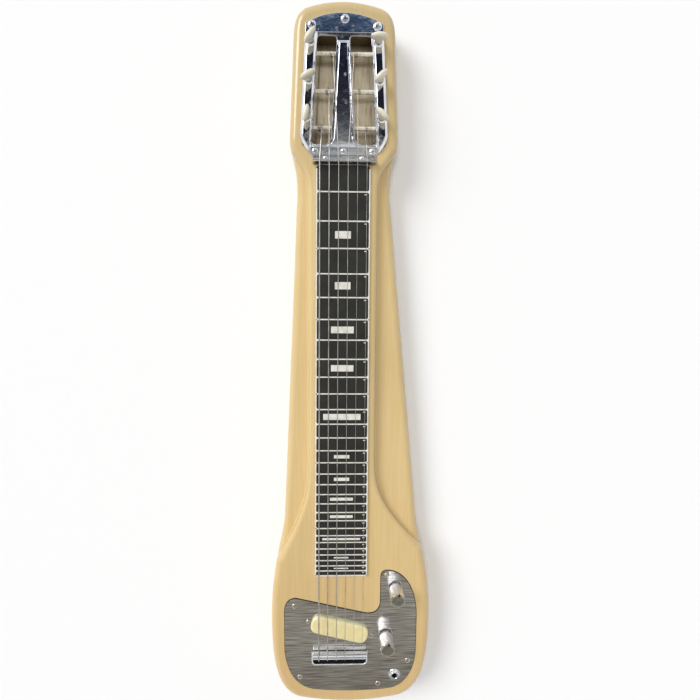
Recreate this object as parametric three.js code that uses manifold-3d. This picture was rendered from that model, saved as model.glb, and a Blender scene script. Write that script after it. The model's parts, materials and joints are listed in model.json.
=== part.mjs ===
// A six-string lap steel guitar lying on its back. Millimetres, +Z up, head towards +Y.
// Pieces are drawn from the nut line, Y = 0, where the string centre line is X = 0,
// and the finished guitar is then centred on its own footprint.
import * as THREE from "three";
import { mergeVertices } from "three/addons/utils/BufferGeometryUtils.js";
import Module from "manifold-3d";

const wasm = await Module();
wasm.setup();

// The two long sides, and which way each faces along X
const sides = ["bass", "treble"];
const outward = { bass: -1, treble: 1 };

// Clearances
const overrun = 2; // cutters run past what they cut by this much
const runningGap = 0.3; // between pieces that move or are slid together
const seatGap = 0.3; // between a string and what it bears on
const pilotGap = 0.3; // round the shank of a screw
const cavityGap = 1.5; // round what lies in a cavity of the body

// The saddle line lies at the string length from the nut line. Places of the lower half are
// counted from the saddle line, towards the head.
const scaleLength = 571.5;

// Body outline: distances from the nut or the saddle line, and widths from the string centre line
const headLength = 156.6;
const tailFromSaddle = -72;
const archDrop = 5.7;
const archWidth = { bass: 36, treble: 38 };
const shoulderFromNut = 124;
const shoulderWidth = { bass: 51.2, treble: 53.9 };
const headBaseFromNut = 22;
const headBaseWidth = { bass: 56.2, treble: 58.7 };
const waistFromNut = 32;
const waistWidth = { bass: 49.3, treble: 51.7 };
const hipFromSaddle = 167.5;
const hipWidth = { bass: 66.8, treble: 90.7 };
const boutFromSaddle = 39.5;
const boutWidth = { bass: 82.9, treble: 108.7 };
const heelFromSaddle = -65.5;
const heelWidth = { bass: 50, treble: 72 };
const headCornerShares = [[0.66, 0.12], [0.95, 0.4]];
const waistShares = [[0, 0.26], [1, 0.37]];
const boutShares = [[0.09, 0.2], [1, 0.5]];
const heelShares = [[0, 0.54], [0.15, 0.91]];

// Body sections
const bodyThickness = 44;
const edgeRound = 8;
const ledgeDrop = 12; // the ledges beside the neck lie this far below the face
const ridgeFromNut = 32;
const ridgeWidth = { bass: 36, treble: 37.3 };
const ridgeEndFromSaddle = 241.5;
const ridgeEndWidth = { bass: 36.8, treble: 38.9 };
const ledgeStartFromNut = 14;
const ledgeEndFromSaddle = { bass: 103.5, treble: 119.5 };
const ledgeHeadShares = [[0.5, 0.38], [1, 0.5]];
const ledgeBoutShares = [[0, 0.41], [0.32, 0.59]];

// Fretboard
const boardThickness = 3;
const boardStart = 4.5;
const boardEndFromSaddle = 99.8;
const boardNutWidth = 57.4;
const boardEndWidth = 61.9;

// Keyhead pan: a pressed cover with two raised rails, a raised rib and two windows
const panSheet = 1.5;
const panArchFromNut = 143.2;
const panArchDrop = 10;
const panArchWidth = { bass: 38.2, treble: 40.4 };
const panTopFromNut = 121;
const panTopWidth = { bass: 39, treble: 41.4 };
const panBaseFromNut = 25;
const panBaseWidth = { bass: 44.6, treble: 46.9 };
const panFootFromNut = 5.2;
const panFootWidth = { bass: 32.6, treble: 35 };
const panFootShares = [[0.02, 0.3], [0.5, 0.78]];
const railWidth = 12.6;
const railHeight = 5;
const railBevel = 2.8;
const railTipFromNut = 6.4; // where the slanting foot of a rail runs out over the edge of the pan
const railTipWidth = { bass: 36.6, treble: 39 };
const ribTopWidth = 13.4;
const ribBaseWidth = 24;
const ribHeight = 4;
const ribBevel = 3.3;
const ribFlare = 9; // of the foot of the rib, out to the ridge below the windows
const windowRound = 4.5;
const windowFootFromNut = 15.7;
const lipDepth = 12;

// Tuning machines
const postFromNut = [106, 69.6, 33.4];
const postRadius = 2.3;
const postDepth = 4; // post axis below the face of the body
const gearTeeth = 12;
const toothModule = 0.8;
const gearWidth = 3;
const gearRootRadius = 3.6;
const gearTipRadius = 5.5;
const postStub = 1; // of a post inside the rib
const toothRootShare = 0.52;
const toothTipShare = 0.2;
const wormRootRadius = 2;
const wormTipRadius = 3.7;
const wormPitchRadius = 3.1;
const wormTurns = 2.5;
const threadRoot = 1.1;
const threadTip = 0.45;
const rootShares = [0.36, 0.5, 0.64]; // of a turn, between two crests
const journalRadius = 1.6;
const shaftRadius = 2.2;
const bossRadius = 4.2;
const bossHeight = 2.2;
const buttonWidth = 17;
const buttonHeight = 13;
const buttonThickness = 6.6;
const buttonLift = 7.5; // underside of the button above the top of its rail
const buttonNeckRadius = 3;
const buttonNeckHeight = 3.5;
const buttonTurns = { bass: [52, 28, 78], treble: [0, 42, -42] };
const shaftEntry = 6;
const stripSheet = 1.5;
const cavityDepth = 24;
const cavityLand = 2.2;
const cavityRound = 1.5;

// Nut
const nutLength = 67.5;
const nutOffset = 1.8;
const nutSheet = 1.8;
const nutFront = 3;
const nutFlange = 7.6;
const nutHeight = 12.6;
const nutScrewSpread = { bass: 19.8, treble: 18.4 };

// Control plate, its outline in distances from the saddle line and the string centre line
const plateThickness = 1.3;
const plateBassEdge = 66.4;
const plateBassTop = 51.5;
const plateShoulder = [-52, 70];
const plateValley = [27.9, 50.8];
const plateHornInner = 48.5;
const plateHornFoot = 66.5;
const plateHornHead = 97.5;
const plateHornTip = [57.5, 105.5];
const plateTrebleEdge = 91.6;
const plateTrebleTop = 46.5;
const plateTrebleEnd = -0.5;
const plateTrebleHeel = 60;
const plateFoot = -50.5;
const plateFootBow = 5;
const plateBassHeel = 30;
const plateBassEnd = 1.5;
const shoulderShares = [[0, 0.65], [0.35, 1.05]];
const valleyShares = [[0.49, -0.16], [1, 0.04]];
const hornTipShares = [[0, 0.75], [0.39, 1.05]];
const hornSideShares = [[0.6, 0.034], [0.985, 0.44]];
const trebleHeelShares = [[0.016, 0.48], [0.355, 0.94]];
const bassHeelShares = [[0.6, 0.058], [0.92, 0.4]];
const plateScrews = [[-54.6, 61.1], [-48.5, -33], [46.7, -43.5], [82.6, -12.7], [55.1, 100]];

// Bridge, string well and anchor
const bridgeLength = 64.5;
const bridgeOffset = -0.4;
const saddleRadius = 2.6;
const bridgeSheet = 3;
const saddleTop = 12.7; // top of the saddle bar above the face of the body
const wellLength = 66.8;
const wellStart = 2.3;
const wellEnd = -17.1;
const wellRound = { start: 2, end: 5.3 };
const wellDepth = 27;
const bridgeFoot = 5;
const anchorSheet = 2;
const anchorFromBridge = 9.5;
const anchorHeight = 12;
const anchorFoot = 5;
const slotShare = 0.75; // where a string leaves the anchor
const ballRadius = 1.9;
const ballLength = 3.2;

// Strings, from the bass side
const stringDiameters = [1.4, 1.1, 0.9, 0.65, 0.45, 0.4];
const stringCentre = 0.7;
const nutSpread = 48.8;
const bridgeSpread = 52;
const stringTurns = [2, 2, 2, 3, 3, 3];
const turnGap = 0.5;
const postReach = [21.8, 14.5, 10.6, 11, 15.4, 23.2];

// Pickup
const pickupLength = 70;
const pickupWidth = 22;
const pickupRound = 10.4;
const pickupCentre = [-0.6, 31.3];
const pickupSlant = -14.5; // degrees
const pickupRise = 5.2; // above the control plate
const pickupWall = 1.6;
const pickupEdge = 1.4;
const pickupSkirt = 5;
const pickupPlate = 2;
const pickupPlateWidth = 10;
const pickupScrewSpan = 78;
const pickupBlock = 9;

// Controls
const volumePlace = [66, 82.6];
const tonePlace = [55.4, 20.1];
const potRadius = 8.5;
const potHeight = 10;
const bushRadius = 4.4;
const bushRise = 2.6; // above the control plate
const potNutWidth = 12.5;
const potNutHeight = 2.2;
const potShaftRadius = 3;
const potShaftHeight = 16;
const knobRadius = 8.2;
const knobHeight = 21.5;
const knobGap = 2.6;
const knobChamfer = 0.8;
const knurlDepth = 0.35;
const jackPlace = [66.9, -31.7];
const jackRadius = 5;
const jackBore = 3.25;
const jackDepth = 22;
const jackRise = 3;
const jackNutRadius = 6.6;
const jackNutHeight = 2.4;

// Screws: head radius, head height, shank radius, length
const panScrew = { head: 4.3, rise: 2, shank: 1.7, length: 14 };
const smallScrew = { head: 3.1, rise: 1.5, shank: 1.4, length: 11 };
const nutScrew = { head: 2.5, rise: 1.3, shank: 1.2, length: 10 };
const pickupScrew = { head: 2.6, rise: 2, shank: 1.3, length: 9 };
const domeShare = 0.7;
const panScrewPlaces = {
  top: [[-32.1, 131.2], [1.6, 137.2], [34.6, 130.6]],
  foot: [[-29.2, 9.2], [0.8, 9.2], [31, 9.2]],
};

// How finely curves are drawn
const roundSides = 20;
const smallSides = 10;
const pilotSides = 8;
const curveSteps = 6;
const cornerSteps = 3;
const roundingSteps = 2;
const buttonSides = 12;
const buttonRings = 7;
const wormSteps = 8;
const turnSteps = 12;
const saddleSteps = 4;
const stringSides = 6;
const knurlRidges = 20;

// Heights and shapes that follow from the sizes above
const face = bodyThickness;
const plateTop = face + plateThickness;
const railTop = face + railHeight;
const postAxis = face - postDepth;
const stripWidth = railWidth - 2 * (cavityLand + runningGap);
const centreDistance = toothModule * gearTeeth / 2 + wormPitchRadius;
const wormLead = Math.PI * toothModule;
const wormBottom = postAxis - gearTipRadius - runningGap;
const buttonBottom = railTop + buttonLift;
const saddleAxis = face + saddleTop - saddleRadius;
const wellFloor = face - wellDepth;
const pickupTop = plateTop + pickupRise;
const pickupPlateTop = face - pickupSkirt;
const pickupPlateBottom = pickupPlateTop - pickupPlate;
const pickupEarLength = pickupScrewSpan + pickupPlateWidth;
const pickupTurn = THREE.MathUtils.degToRad(pickupSlant);

const lacquer = new THREE.MeshStandardMaterial({ color: 0xe3c688, roughness: 0.2, metalness: 0 });
const chrome = new THREE.MeshStandardMaterial({ color: 0xd8dadd, roughness: 0.08, metalness: 1 });
const plateMetal = new THREE.MeshStandardMaterial({ color: 0x75716c, roughness: 0.15, metalness: 1 });
const steel = new THREE.MeshStandardMaterial({ color: 0xb9b4a8, roughness: 0.35, metalness: 1 });
const boardBlack = new THREE.MeshStandardMaterial({ color: 0x151515, roughness: 0.4, metalness: 0 });
const cream = new THREE.MeshStandardMaterial({ color: 0xefe2b0, roughness: 0.3, metalness: 0 });
const darkPlastic = new THREE.MeshStandardMaterial({ color: 0x26221f, roughness: 0.6, metalness: 0 });

const guitar = new THREE.Group();

// Solids and booleans

function solid(geometry) {
  const bare = geometry.clone();
  bare.deleteAttribute("normal");
  bare.deleteAttribute("uv");
  const merged = mergeVertices(bare);
  return new wasm.Manifold(new wasm.Mesh({
    numProp: 3,
    vertProperties: merged.getAttribute("position").array,
    triVerts: new Uint32Array(merged.index.array),
  }));
}

function join(first, ...rest) {
  return rest.reduce((all, next) => all.add(next), first);
}

function cut(first, ...rest) {
  return rest.reduce((left, next) => left.subtract(next), first);
}

function addPiece(name, shape, material, parent = guitar) {
  const mesh = shape.getMesh();
  const geometry = new THREE.BufferGeometry();
  geometry.setAttribute("position", new THREE.BufferAttribute(new Float32Array(mesh.vertProperties), 3));
  geometry.setIndex(new THREE.BufferAttribute(new Uint32Array(mesh.triVerts), 1));
  geometry.computeVertexNormals();
  const piece = new THREE.Mesh(geometry, material);
  piece.name = name;
  parent.add(piece);
  return piece;
}

// Y on the guitar of a distance from the saddle line.
function low(y) {
  return y - scaleLength;
}

// Profiles

// A cubic curve whose two handles are shares of the step to its end.
function curveTo(path, x, y, shares) {
  const from = path.currentPoint;
  const handles = shares.flatMap(([across, along]) => [
    from.x + (x - from.x) * across,
    from.y + (y - from.y) * along,
  ]);
  path.bezierCurveTo(...handles, x, y);
}

function prism(shape, bottom, top, steps = curveSteps) {
  const geometry = new THREE.ExtrudeGeometry(shape, {
    depth: top - bottom, bevelEnabled: false, curveSegments: steps,
  });
  return solid(geometry.translate(0, 0, bottom));
}

// A prism whose upper and lower edges are rounded or, in one step, bevelled.
function easedPrism(shape, bottom, top, ease, steps, easeSteps = 1) {
  const geometry = new THREE.ExtrudeGeometry(shape, {
    depth: top - bottom - 2 * ease, curveSegments: steps,
    bevelEnabled: true, bevelThickness: ease, bevelSize: ease, bevelOffset: -ease, bevelSegments: easeSteps,
  });
  return solid(geometry.translate(0, 0, bottom + ease));
}

function polygon(points) {
  return new THREE.Shape(points.map(([x, y]) => new THREE.Vector2(x, y)));
}

// The corners share one radius, or each has its own.
function roundedPolygon(points, radii) {
  const shape = new THREE.Shape();
  points.forEach((corner, i) => {
    const radius = Array.isArray(radii) ? radii[i] : radii;
    const here = new THREE.Vector2(...corner);
    const before = new THREE.Vector2(...points.at(i - 1));
    const after = new THREE.Vector2(...points[(i + 1) % points.length]);
    const start = here.clone().add(before.sub(here).setLength(radius));
    const end = here.clone().add(after.sub(here).setLength(radius));
    if (i === 0) shape.moveTo(start.x, start.y);
    else shape.lineTo(start.x, start.y);
    shape.quadraticCurveTo(here.x, here.y, end.x, end.y);
  });
  shape.closePath();
  return shape;
}

function stadium(length, width) {
  const shape = new THREE.Shape();
  const reach = (length - width) / 2;
  shape.absarc(reach, 0, width / 2, -Math.PI / 2, Math.PI / 2);
  shape.absarc(-reach, 0, width / 2, Math.PI / 2, 1.5 * Math.PI);
  shape.closePath();
  return shape;
}

// Round bars, upright or along X

function upright(radius, bottom, top, x, y, count = roundSides) {
  const geometry = new THREE.CylinderGeometry(radius, radius, top - bottom, count);
  geometry.rotateX(Math.PI / 2);
  return solid(geometry.translate(x, y, (bottom + top) / 2));
}

// A slim bar or bore on the axis of its own piece or group.
function spindle(radius, bottom, top) {
  return upright(radius, bottom, top, 0, 0, smallSides);
}

function crosswise(radius, from, to, y, z, count = roundSides) {
  const geometry = new THREE.CylinderGeometry(radius, radius, Math.abs(to - from), count);
  geometry.rotateZ(Math.PI / 2);
  return solid(geometry.translate((from + to) / 2, y, z));
}

function block(minX, maxX, minY, maxY, minZ, maxZ) {
  const geometry = new THREE.BoxGeometry(maxX - minX, maxY - minY, maxZ - minZ);
  return solid(geometry.translate((minX + maxX) / 2, (minY + maxY) / 2, (minZ + maxZ) / 2));
}

function turned(profile, count) {
  const geometry = new THREE.LatheGeometry(profile.map(([r, z]) => new THREE.Vector2(r, z)), count);
  return solid(geometry.rotateX(Math.PI / 2));
}

// A tube through points, round or of any section, closed at both ends.
// Each ring lies square to the bisector of its two stretches.
function tube(points, radius, count) {
  const position = [];
  const index = [];
  let side = new THREE.Vector3(1, 0, 0);
  points.forEach((point, i) => {
    const back = point.clone().sub(points[Math.max(i - 1, 0)]).normalize();
    const ahead = points[Math.min(i + 1, points.length - 1)].clone().sub(point).normalize();
    const along = back.add(ahead).normalize();
    side = side.sub(along.clone().multiplyScalar(side.dot(along))).normalize();
    const up = along.clone().cross(side);
    for (let k = 0; k < count; k++) {
      const angle = 2 * Math.PI * k / count;
      const spot = point.clone();
      spot.addScaledVector(side, radius * Math.cos(angle));
      spot.addScaledVector(up, radius * Math.sin(angle));
      position.push(spot.x, spot.y, spot.z);
    }
  });
  closeRings(index, points.length, count);
  return meshed(position, index);
}

function closeRings(index, rings, count) {
  for (let i = 0; i < rings - 1; i++)
    for (let k = 0; k < count; k++) {
      const a = i * count + k;
      const b = i * count + (k + 1) % count;
      index.push(a, b, b + count, a, b + count, a + count);
    }
  const last = (rings - 1) * count;
  for (let k = 1; k < count - 1; k++)
    index.push(0, k + 1, k, last, last + k, last + k + 1);
}

function meshed(position, index) {
  const geometry = new THREE.BufferGeometry();
  geometry.setAttribute("position", new THREE.Float32BufferAttribute(position, 3));
  geometry.setIndex(index);
  return solid(geometry);
}

// Body

function bodyEdge(side) {
  const at = (width) => outward[side] * width[side];
  const middle = (width) => (width.treble - width.bass) / 2;
  const path = new THREE.Path();
  path.moveTo(middle(archWidth), headLength);
  path.quadraticCurveTo((middle(archWidth) + at(archWidth)) / 2, headLength,
    at(archWidth), headLength - archDrop);
  curveTo(path, at(shoulderWidth), shoulderFromNut, headCornerShares);
  path.lineTo(at(headBaseWidth), headBaseFromNut);
  curveTo(path, at(waistWidth), -waistFromNut, waistShares);
  path.lineTo(at(hipWidth), low(hipFromSaddle));
  curveTo(path, at(boutWidth), low(boutFromSaddle), boutShares);
  curveTo(path, at(heelWidth), low(heelFromSaddle), heelShares);
  path.quadraticCurveTo((middle(heelWidth) + at(heelWidth)) / 2, low(tailFromSaddle),
    middle(heelWidth), low(tailFromSaddle));
  return path.getPoints(curveSteps);
}

// What is cut away above a ledge, from its inner edge to clear of the body.
function ledgeShape(side) {
  const at = (width) => outward[side] * width[side];
  const clear = outward[side] * (boutWidth[side] + overrun);
  const path = new THREE.Path();
  path.moveTo(clear, ledgeStartFromNut);
  path.lineTo(at(headBaseWidth) + outward[side] * overrun, ledgeStartFromNut);
  curveTo(path, at(ridgeWidth), -ridgeFromNut, ledgeHeadShares);
  path.lineTo(at(ridgeEndWidth), low(ridgeEndFromSaddle));
  curveTo(path, at(boutWidth), low(ledgeEndFromSaddle[side]), ledgeBoutShares);
  path.lineTo(clear, low(ledgeEndFromSaddle[side]));
  return new THREE.Shape(path.getPoints(curveSteps));
}

function makeBody() {
  const outline = new THREE.Shape([...bodyEdge("treble"), ...bodyEdge("bass").reverse()]);
  const ledgeTop = face - ledgeDrop;
  const full = easedPrism(outline, 0, face, edgeRound, 1, roundingSteps);
  const low = easedPrism(outline, 0, ledgeTop, edgeRound, 1, roundingSteps);
  const ledges = sides.map((side) => prism(ledgeShape(side), ledgeTop - edgeRound, face + overrun));
  const stepped = join(cut(full, ...ledges), low);
  return cut(stepped, ...bodyCavities(), ...bodyPilots());
}

function bodyCavities() {
  const top = face + overrun;
  const pickup = pickupHole(pickupShape(-cavityGap), pickupPlateBottom - pickupBlock - cavityGap, top);
  const ears = pickupHole(pickupEarShape(-cavityGap), pickupPlateBottom - cavityGap, top);
  const pots = [volumePlace, tonePlace].map(([x, y]) =>
    upright(potRadius + cavityGap, face - potHeight - cavityGap, top, x, low(y)));
  const jack = upright(jackRadius + cavityGap, face - jackDepth - cavityGap, top,
    jackPlace[0], low(jackPlace[1]));
  const well = prism(wellShape(), face - wellDepth, top);
  return [prism(tunerCavity(), face - cavityDepth, top, cornerSteps), pickup, ears, ...pots, jack, well];
}

// A hole in the body or the plate for a piece of the slanted pickup.
function pickupHole(shape, bottom, top) {
  const geometry = new THREE.ExtrudeGeometry(shape, {
    depth: top - bottom, bevelEnabled: false, curveSegments: curveSteps,
  });
  return solid(geometry.rotateZ(pickupTurn).translate(pickupCentre[0], low(pickupCentre[1]), bottom));
}

// Pan

// The pan's own edge, or a line inset from it, at a distance from the nut line.
function panEdge(side, fromNut, inset = 0) {
  const share = (fromNut - panBaseFromNut) / (panTopFromNut - panBaseFromNut);
  const width = THREE.MathUtils.lerp(panBaseWidth[side], panTopWidth[side], share);
  return outward[side] * (width - inset);
}

function ribEdge(side, fromNut, outset = 0) {
  const share = (fromNut - panBaseFromNut) / (panTopFromNut - panBaseFromNut);
  const width = THREE.MathUtils.lerp(ribBaseWidth, ribTopWidth, share) / 2;
  return outward[side] * (width + outset);
}

function railCentre(side, fromNut) {
  return panEdge(side, fromNut, railWidth / 2);
}

function panOutline() {
  const half = (side) => {
    const path = new THREE.Path();
    const at = (width) => outward[side] * width[side];
    path.moveTo(0, panArchFromNut);
    path.quadraticCurveTo(at(panArchWidth) / 2, panArchFromNut,
      at(panArchWidth), panArchFromNut - panArchDrop);
    path.lineTo(at(panTopWidth), panTopFromNut);
    path.lineTo(at(panBaseWidth), panBaseFromNut);
    curveTo(path, at(panFootWidth), panFootFromNut, panFootShares);
    return path.getPoints(curveSteps);
  };
  return new THREE.Shape([...half("treble"), ...half("bass").reverse()]);
}

function windowShape(side) {
  const top = panTopFromNut;
  const foot = windowFootFromNut;
  return roundedPolygon([
    [panEdge(side, top, railWidth), top], [ribEdge(side, top), top],
    [ribEdge(side, foot), foot], [panEdge(side, foot, railWidth), foot],
  ], [windowRound, windowRound, ribFlare, windowRound]);
}

function tunerCavity() {
  const top = panTopFromNut + cavityGap;
  const foot = windowFootFromNut - cavityGap;
  const corner = (side, at) => [panEdge(side, at, cavityLand), at];
  return roundedPolygon([corner("treble", foot), corner("treble", top),
    corner("bass", top), corner("bass", foot)], cavityRound);
}

// What bounds a rail inside the pan: its head end, the window, and its slanting foot.
function railShape(side) {
  const top = panTopFromNut + railBevel;
  const foot = windowFootFromNut - railBevel;
  return polygon([
    [panEdge(side, railTipFromNut, -overrun), railTipFromNut], [panEdge(side, top, -overrun), top],
    [panEdge(side, top, railWidth), top], [panEdge(side, foot, railWidth), foot],
    [outward[side] * railTipWidth[side], railTipFromNut],
  ]);
}

// The sheet keeps its thickness through the bevels of a rail, which lie at 45 degrees.
function railHollow(side) {
  const inset = railBevel + panSheet * Math.tan(Math.PI / 8);
  const top = panTopFromNut - panSheet;
  const foot = windowFootFromNut + panSheet;
  return polygon([
    [panEdge(side, foot, inset), foot], [panEdge(side, top, inset), top],
    [panEdge(side, top, railWidth - inset), top], [panEdge(side, foot, railWidth - inset), foot],
  ]);
}

// The rib's sides, flaring at the foot into a ridge that runs below the windows.
function ribShape() {
  const top = panTopFromNut + ribBevel + overrun;
  const flareTop = windowFootFromNut + ribFlare;
  const half = (side) => {
    const path = new THREE.Path();
    path.moveTo(ribEdge(side, top), top);
    path.lineTo(ribEdge(side, flareTop), flareTop);
    path.quadraticCurveTo(ribEdge(side, windowFootFromNut), windowFootFromNut,
      ribEdge(side, windowFootFromNut, ribFlare), windowFootFromNut);
    path.lineTo(panEdge(side, windowFootFromNut, railWidth - overrun), windowFootFromNut);
    path.lineTo(panEdge(side, windowFootFromNut, railWidth - overrun), 0);
    return path.getPoints(curveSteps);
  };
  return new THREE.Shape([...half("treble"), ...half("bass").reverse()]);
}

// What bounds the rib at the head, and its ridge on the side of the nut.
function ribEnds() {
  const top = panTopFromNut + ribBevel;
  const foot = windowFootFromNut - ribBevel;
  return polygon([
    [-panBaseWidth.bass, foot], [panBaseWidth.treble, foot],
    [panBaseWidth.treble, top], [-panBaseWidth.bass, top],
  ]);
}

function ribHollow() {
  const inset = ribBevel + panSheet;
  const top = panTopFromNut - panSheet;
  const foot = windowFootFromNut + panSheet;
  return polygon([
    [ribEdge("bass", foot, -inset), foot], [ribEdge("bass", top, -inset), top],
    [ribEdge("treble", top, -inset), top], [ribEdge("treble", foot, -inset), foot],
  ]);
}

// One wall folded down from a long edge of a window.
function lip(edge) {
  const top = panTopFromNut - windowRound;
  const foot = windowFootFromNut + windowRound;
  return prism(polygon([
    [edge(foot, 0), foot], [edge(top, 0), top], [edge(top, panSheet), top], [edge(foot, panSheet), foot],
  ]), face - lipDepth, face + panSheet);
}

function makePan() {
  const sheet = prism(panOutline(), face, face + panSheet);
  const above = block(-boutWidth.bass, boutWidth.treble, 0, headLength, face, railTop);
  const raised = easedPrism(panOutline(), face - railBevel, railTop, railBevel, curveSteps);
  const rails = sides.map((side) =>
    easedPrism(railShape(side), face - railBevel, railTop, railBevel, 1).intersect(raised));
  const ribForms = [ribShape(), ribEnds()].map((shape) =>
    easedPrism(shape, face - ribBevel, face + ribHeight, ribBevel, curveSteps));
  const rib = ribForms[0].intersect(ribForms[1]);
  const hollows = sides.map((side) => prism(railHollow(side), face - overrun, railTop - panSheet));
  hollows.push(prism(ribHollow(), face - overrun, face + ribHeight - panSheet));
  const windows = sides.map((side) =>
    prism(windowShape(side), face - overrun, face + ribHeight + overrun));
  const lips = sides.flatMap((side) => [
    lip((at, depth) => panEdge(side, at, railWidth - depth)),
    lip((at, depth) => ribEdge(side, at, -depth)),
  ]);
  const bosses = tuners().map(({ x, y }) =>
    upright(bossRadius, railTop - panSheet, railTop + bossHeight, x, y, smallSides));
  const shafts = tuners().map(({ x, y }) =>
    upright(shaftRadius + runningGap, face, railTop + bossHeight + overrun, x, y, smallSides));
  const posts = tuners().map(({ side, post }) =>
    crosswise(postRadius + runningGap, 0, outward[side] * boutWidth[side], post, postAxis, smallSides));
  const raisedForms = join(...rails, rib).intersect(above);
  const shell = cut(join(sheet, raisedForms, ...lips), ...windows, ...hollows);
  return cut(join(shell, ...bosses), ...shafts, ...posts, ...panHoles());
}

function panHoles() {
  const hole = (screw) => ([x, y]) => upright(screw.shank + pilotGap, face - overrun,
    face + ribHeight + overrun, x, y, smallSides);
  return [...panScrewPlaces.top.map(hole(panScrew)), ...panScrewPlaces.foot.map(hole(smallScrew))];
}

// Tuning machines

// Where the six machines stand, string by string from the bass side.
function tuners() {
  const order = [["bass", 2], ["bass", 1], ["bass", 0], ["treble", 0], ["treble", 1], ["treble", 2]];
  return order.map(([side, row]) => {
    const post = postFromNut[row];
    const y = post + centreDistance;
    return { side, row, post, y, x: railCentre(side, y) };
  });
}

function makeGear(x) {
  const tooth = 2 * Math.PI / gearTeeth;
  const spots = [];
  for (let k = 0; k < gearTeeth; k++) {
    const middle = (k + 0.5) * tooth;
    const spot = (radius, angle) => new THREE.Vector2(radius * Math.cos(angle), radius * Math.sin(angle));
    spots.push(spot(gearRootRadius, middle - tooth * toothRootShare / 2));
    spots.push(spot(gearTipRadius, middle - tooth * toothTipShare / 2));
    spots.push(spot(gearTipRadius, middle + tooth * toothTipShare / 2));
    spots.push(spot(gearRootRadius, middle + tooth * toothRootShare / 2));
  }
  const geometry = new THREE.ExtrudeGeometry(new THREE.Shape(spots), {
    depth: gearWidth, bevelEnabled: false,
  });
  const ahead = new THREE.Vector3(0, 1, 0);
  const up = new THREE.Vector3(0, 0, 1);
  const across = new THREE.Vector3(1, 0, 0);
  geometry.applyMatrix4(new THREE.Matrix4().makeBasis(ahead, up, across));
  return geometry.translate(x - gearWidth / 2, 0, 0);
}

function makePost(tuner) {
  const outer = tuner.x + outward[tuner.side] * gearWidth;
  const inner = ribEdge(tuner.side, tuner.post, -panSheet - runningGap - postStub);
  const gear = solid(makeGear(tuner.x).translate(0, tuner.post, postAxis));
  return join(crosswise(postRadius, inner, outer, tuner.post, postAxis, smallSides), gear);
}

// The points of a ring, each at its share of a turn from the crest of the thread.
function ring(radiusAt) {
  const tip = threadTip / wormLead / 2;
  const flank = threadRoot / wormLead / 2;
  const shares = [-flank, -tip, 0, tip, flank, ...rootShares];
  return shares.map((share) => [radiusAt(Math.abs(share) <= tip), share]);
}

function plainRing(radius) {
  return ring(() => radius);
}

function threadRing() {
  return ring((crest) => crest ? wormTipRadius : wormRootRadius);
}

// The shaft is lofted from rings of the same count: plain below, then the twisting section
// of a single right-handed thread, then plain up into the button.
function makeWorm() {
  const lowEnd = wormBottom - runningGap - stripSheet - postAxis;
  const threadEnd = wormTurns * wormLead / 2;
  const rings = [
    [lowEnd, 0, plainRing(journalRadius)], [wormBottom - postAxis, 0, plainRing(journalRadius)],
    [wormBottom - postAxis, 0, plainRing(wormRootRadius)], [-threadEnd, 0, plainRing(wormRootRadius)],
  ];
  const steps = Math.round(wormTurns * wormSteps);
  for (let i = 0; i <= steps; i++)
    rings.push([(i / steps - 0.5) * wormTurns * wormLead, i / wormSteps, threadRing()]);
  rings.push([threadEnd, wormTurns, plainRing(shaftRadius)]);
  rings.push([buttonBottom + shaftEntry - postAxis, wormTurns, plainRing(shaftRadius)]);
  const position = [];
  for (const [height, turns, spots] of rings)
    for (const [radius, share] of spots) {
      const angle = 2 * Math.PI * (turns - wormTurns / 2 + share) - Math.PI / 2;
      position.push(radius * Math.cos(angle), radius * Math.sin(angle), height);
    }
  const index = [];
  closeRings(index, rings.length, threadRing().length);
  return meshed(position, index);
}

function makeButton() {
  const geometry = new THREE.SphereGeometry(1, buttonSides, buttonRings);
  geometry.rotateX(Math.PI / 2);
  geometry.scale(buttonWidth / 2, buttonThickness / 2, buttonHeight / 2);
  const pad = solid(geometry.translate(0, 0, buttonHeight / 2));
  const neck = spindle(buttonNeckRadius, -buttonNeckHeight, buttonThickness / 2);
  const bore = spindle(shaftRadius + runningGap, -buttonNeckHeight - overrun, shaftEntry + runningGap);
  return cut(join(pad, neck), bore);
}

function addTuners() {
  const worm = makeWorm();
  const button = makeButton();
  tuners().forEach((tuner, i) => {
    const label = i + 1;
    addPiece(`string_post_${label}`, makePost(tuner), steel);
    const shaft = addPiece(`worm_shaft_${label}`, worm, steel);
    shaft.position.set(tuner.x, tuner.y, postAxis);
    const grip = addPiece(`tuner_button_${label}`, button, cream);
    grip.position.set(tuner.x, tuner.y, buttonBottom);
    grip.rotation.z = THREE.MathUtils.degToRad(buttonTurns[tuner.side][tuner.row]);
  });
  for (const side of sides)
    addPiece(`tuner_strip_${side}`, makeStrip(side), steel);
}

// The strip under a rail: a floor for the three worms, and an ear at each end up to the pan.
function makeStrip(side) {
  const top = panTopFromNut + cavityGap - cavityRound;
  const foot = windowFootFromNut - cavityGap + cavityRound;
  const band = (from, to) => polygon([
    [railCentre(side, from) - stripWidth / 2, from], [railCentre(side, from) + stripWidth / 2, from],
    [railCentre(side, to) + stripWidth / 2, to], [railCentre(side, to) - stripWidth / 2, to],
  ]);
  const floorTop = wormBottom - runningGap;
  const floor = prism(band(foot, top), floorTop - stripSheet, floorTop);
  const ears = [prism(band(foot, foot + stripSheet), floorTop - stripSheet, face),
    prism(band(top - stripSheet, top), floorTop - stripSheet, face)];
  const holes = tuners().filter((tuner) => tuner.side === side).map(({ x, y }) =>
    upright(journalRadius + runningGap, floorTop - stripSheet - overrun, floorTop + overrun,
      x, y, smallSides));
  return cut(join(floor, ...ears), ...holes);
}

// Nut

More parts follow.
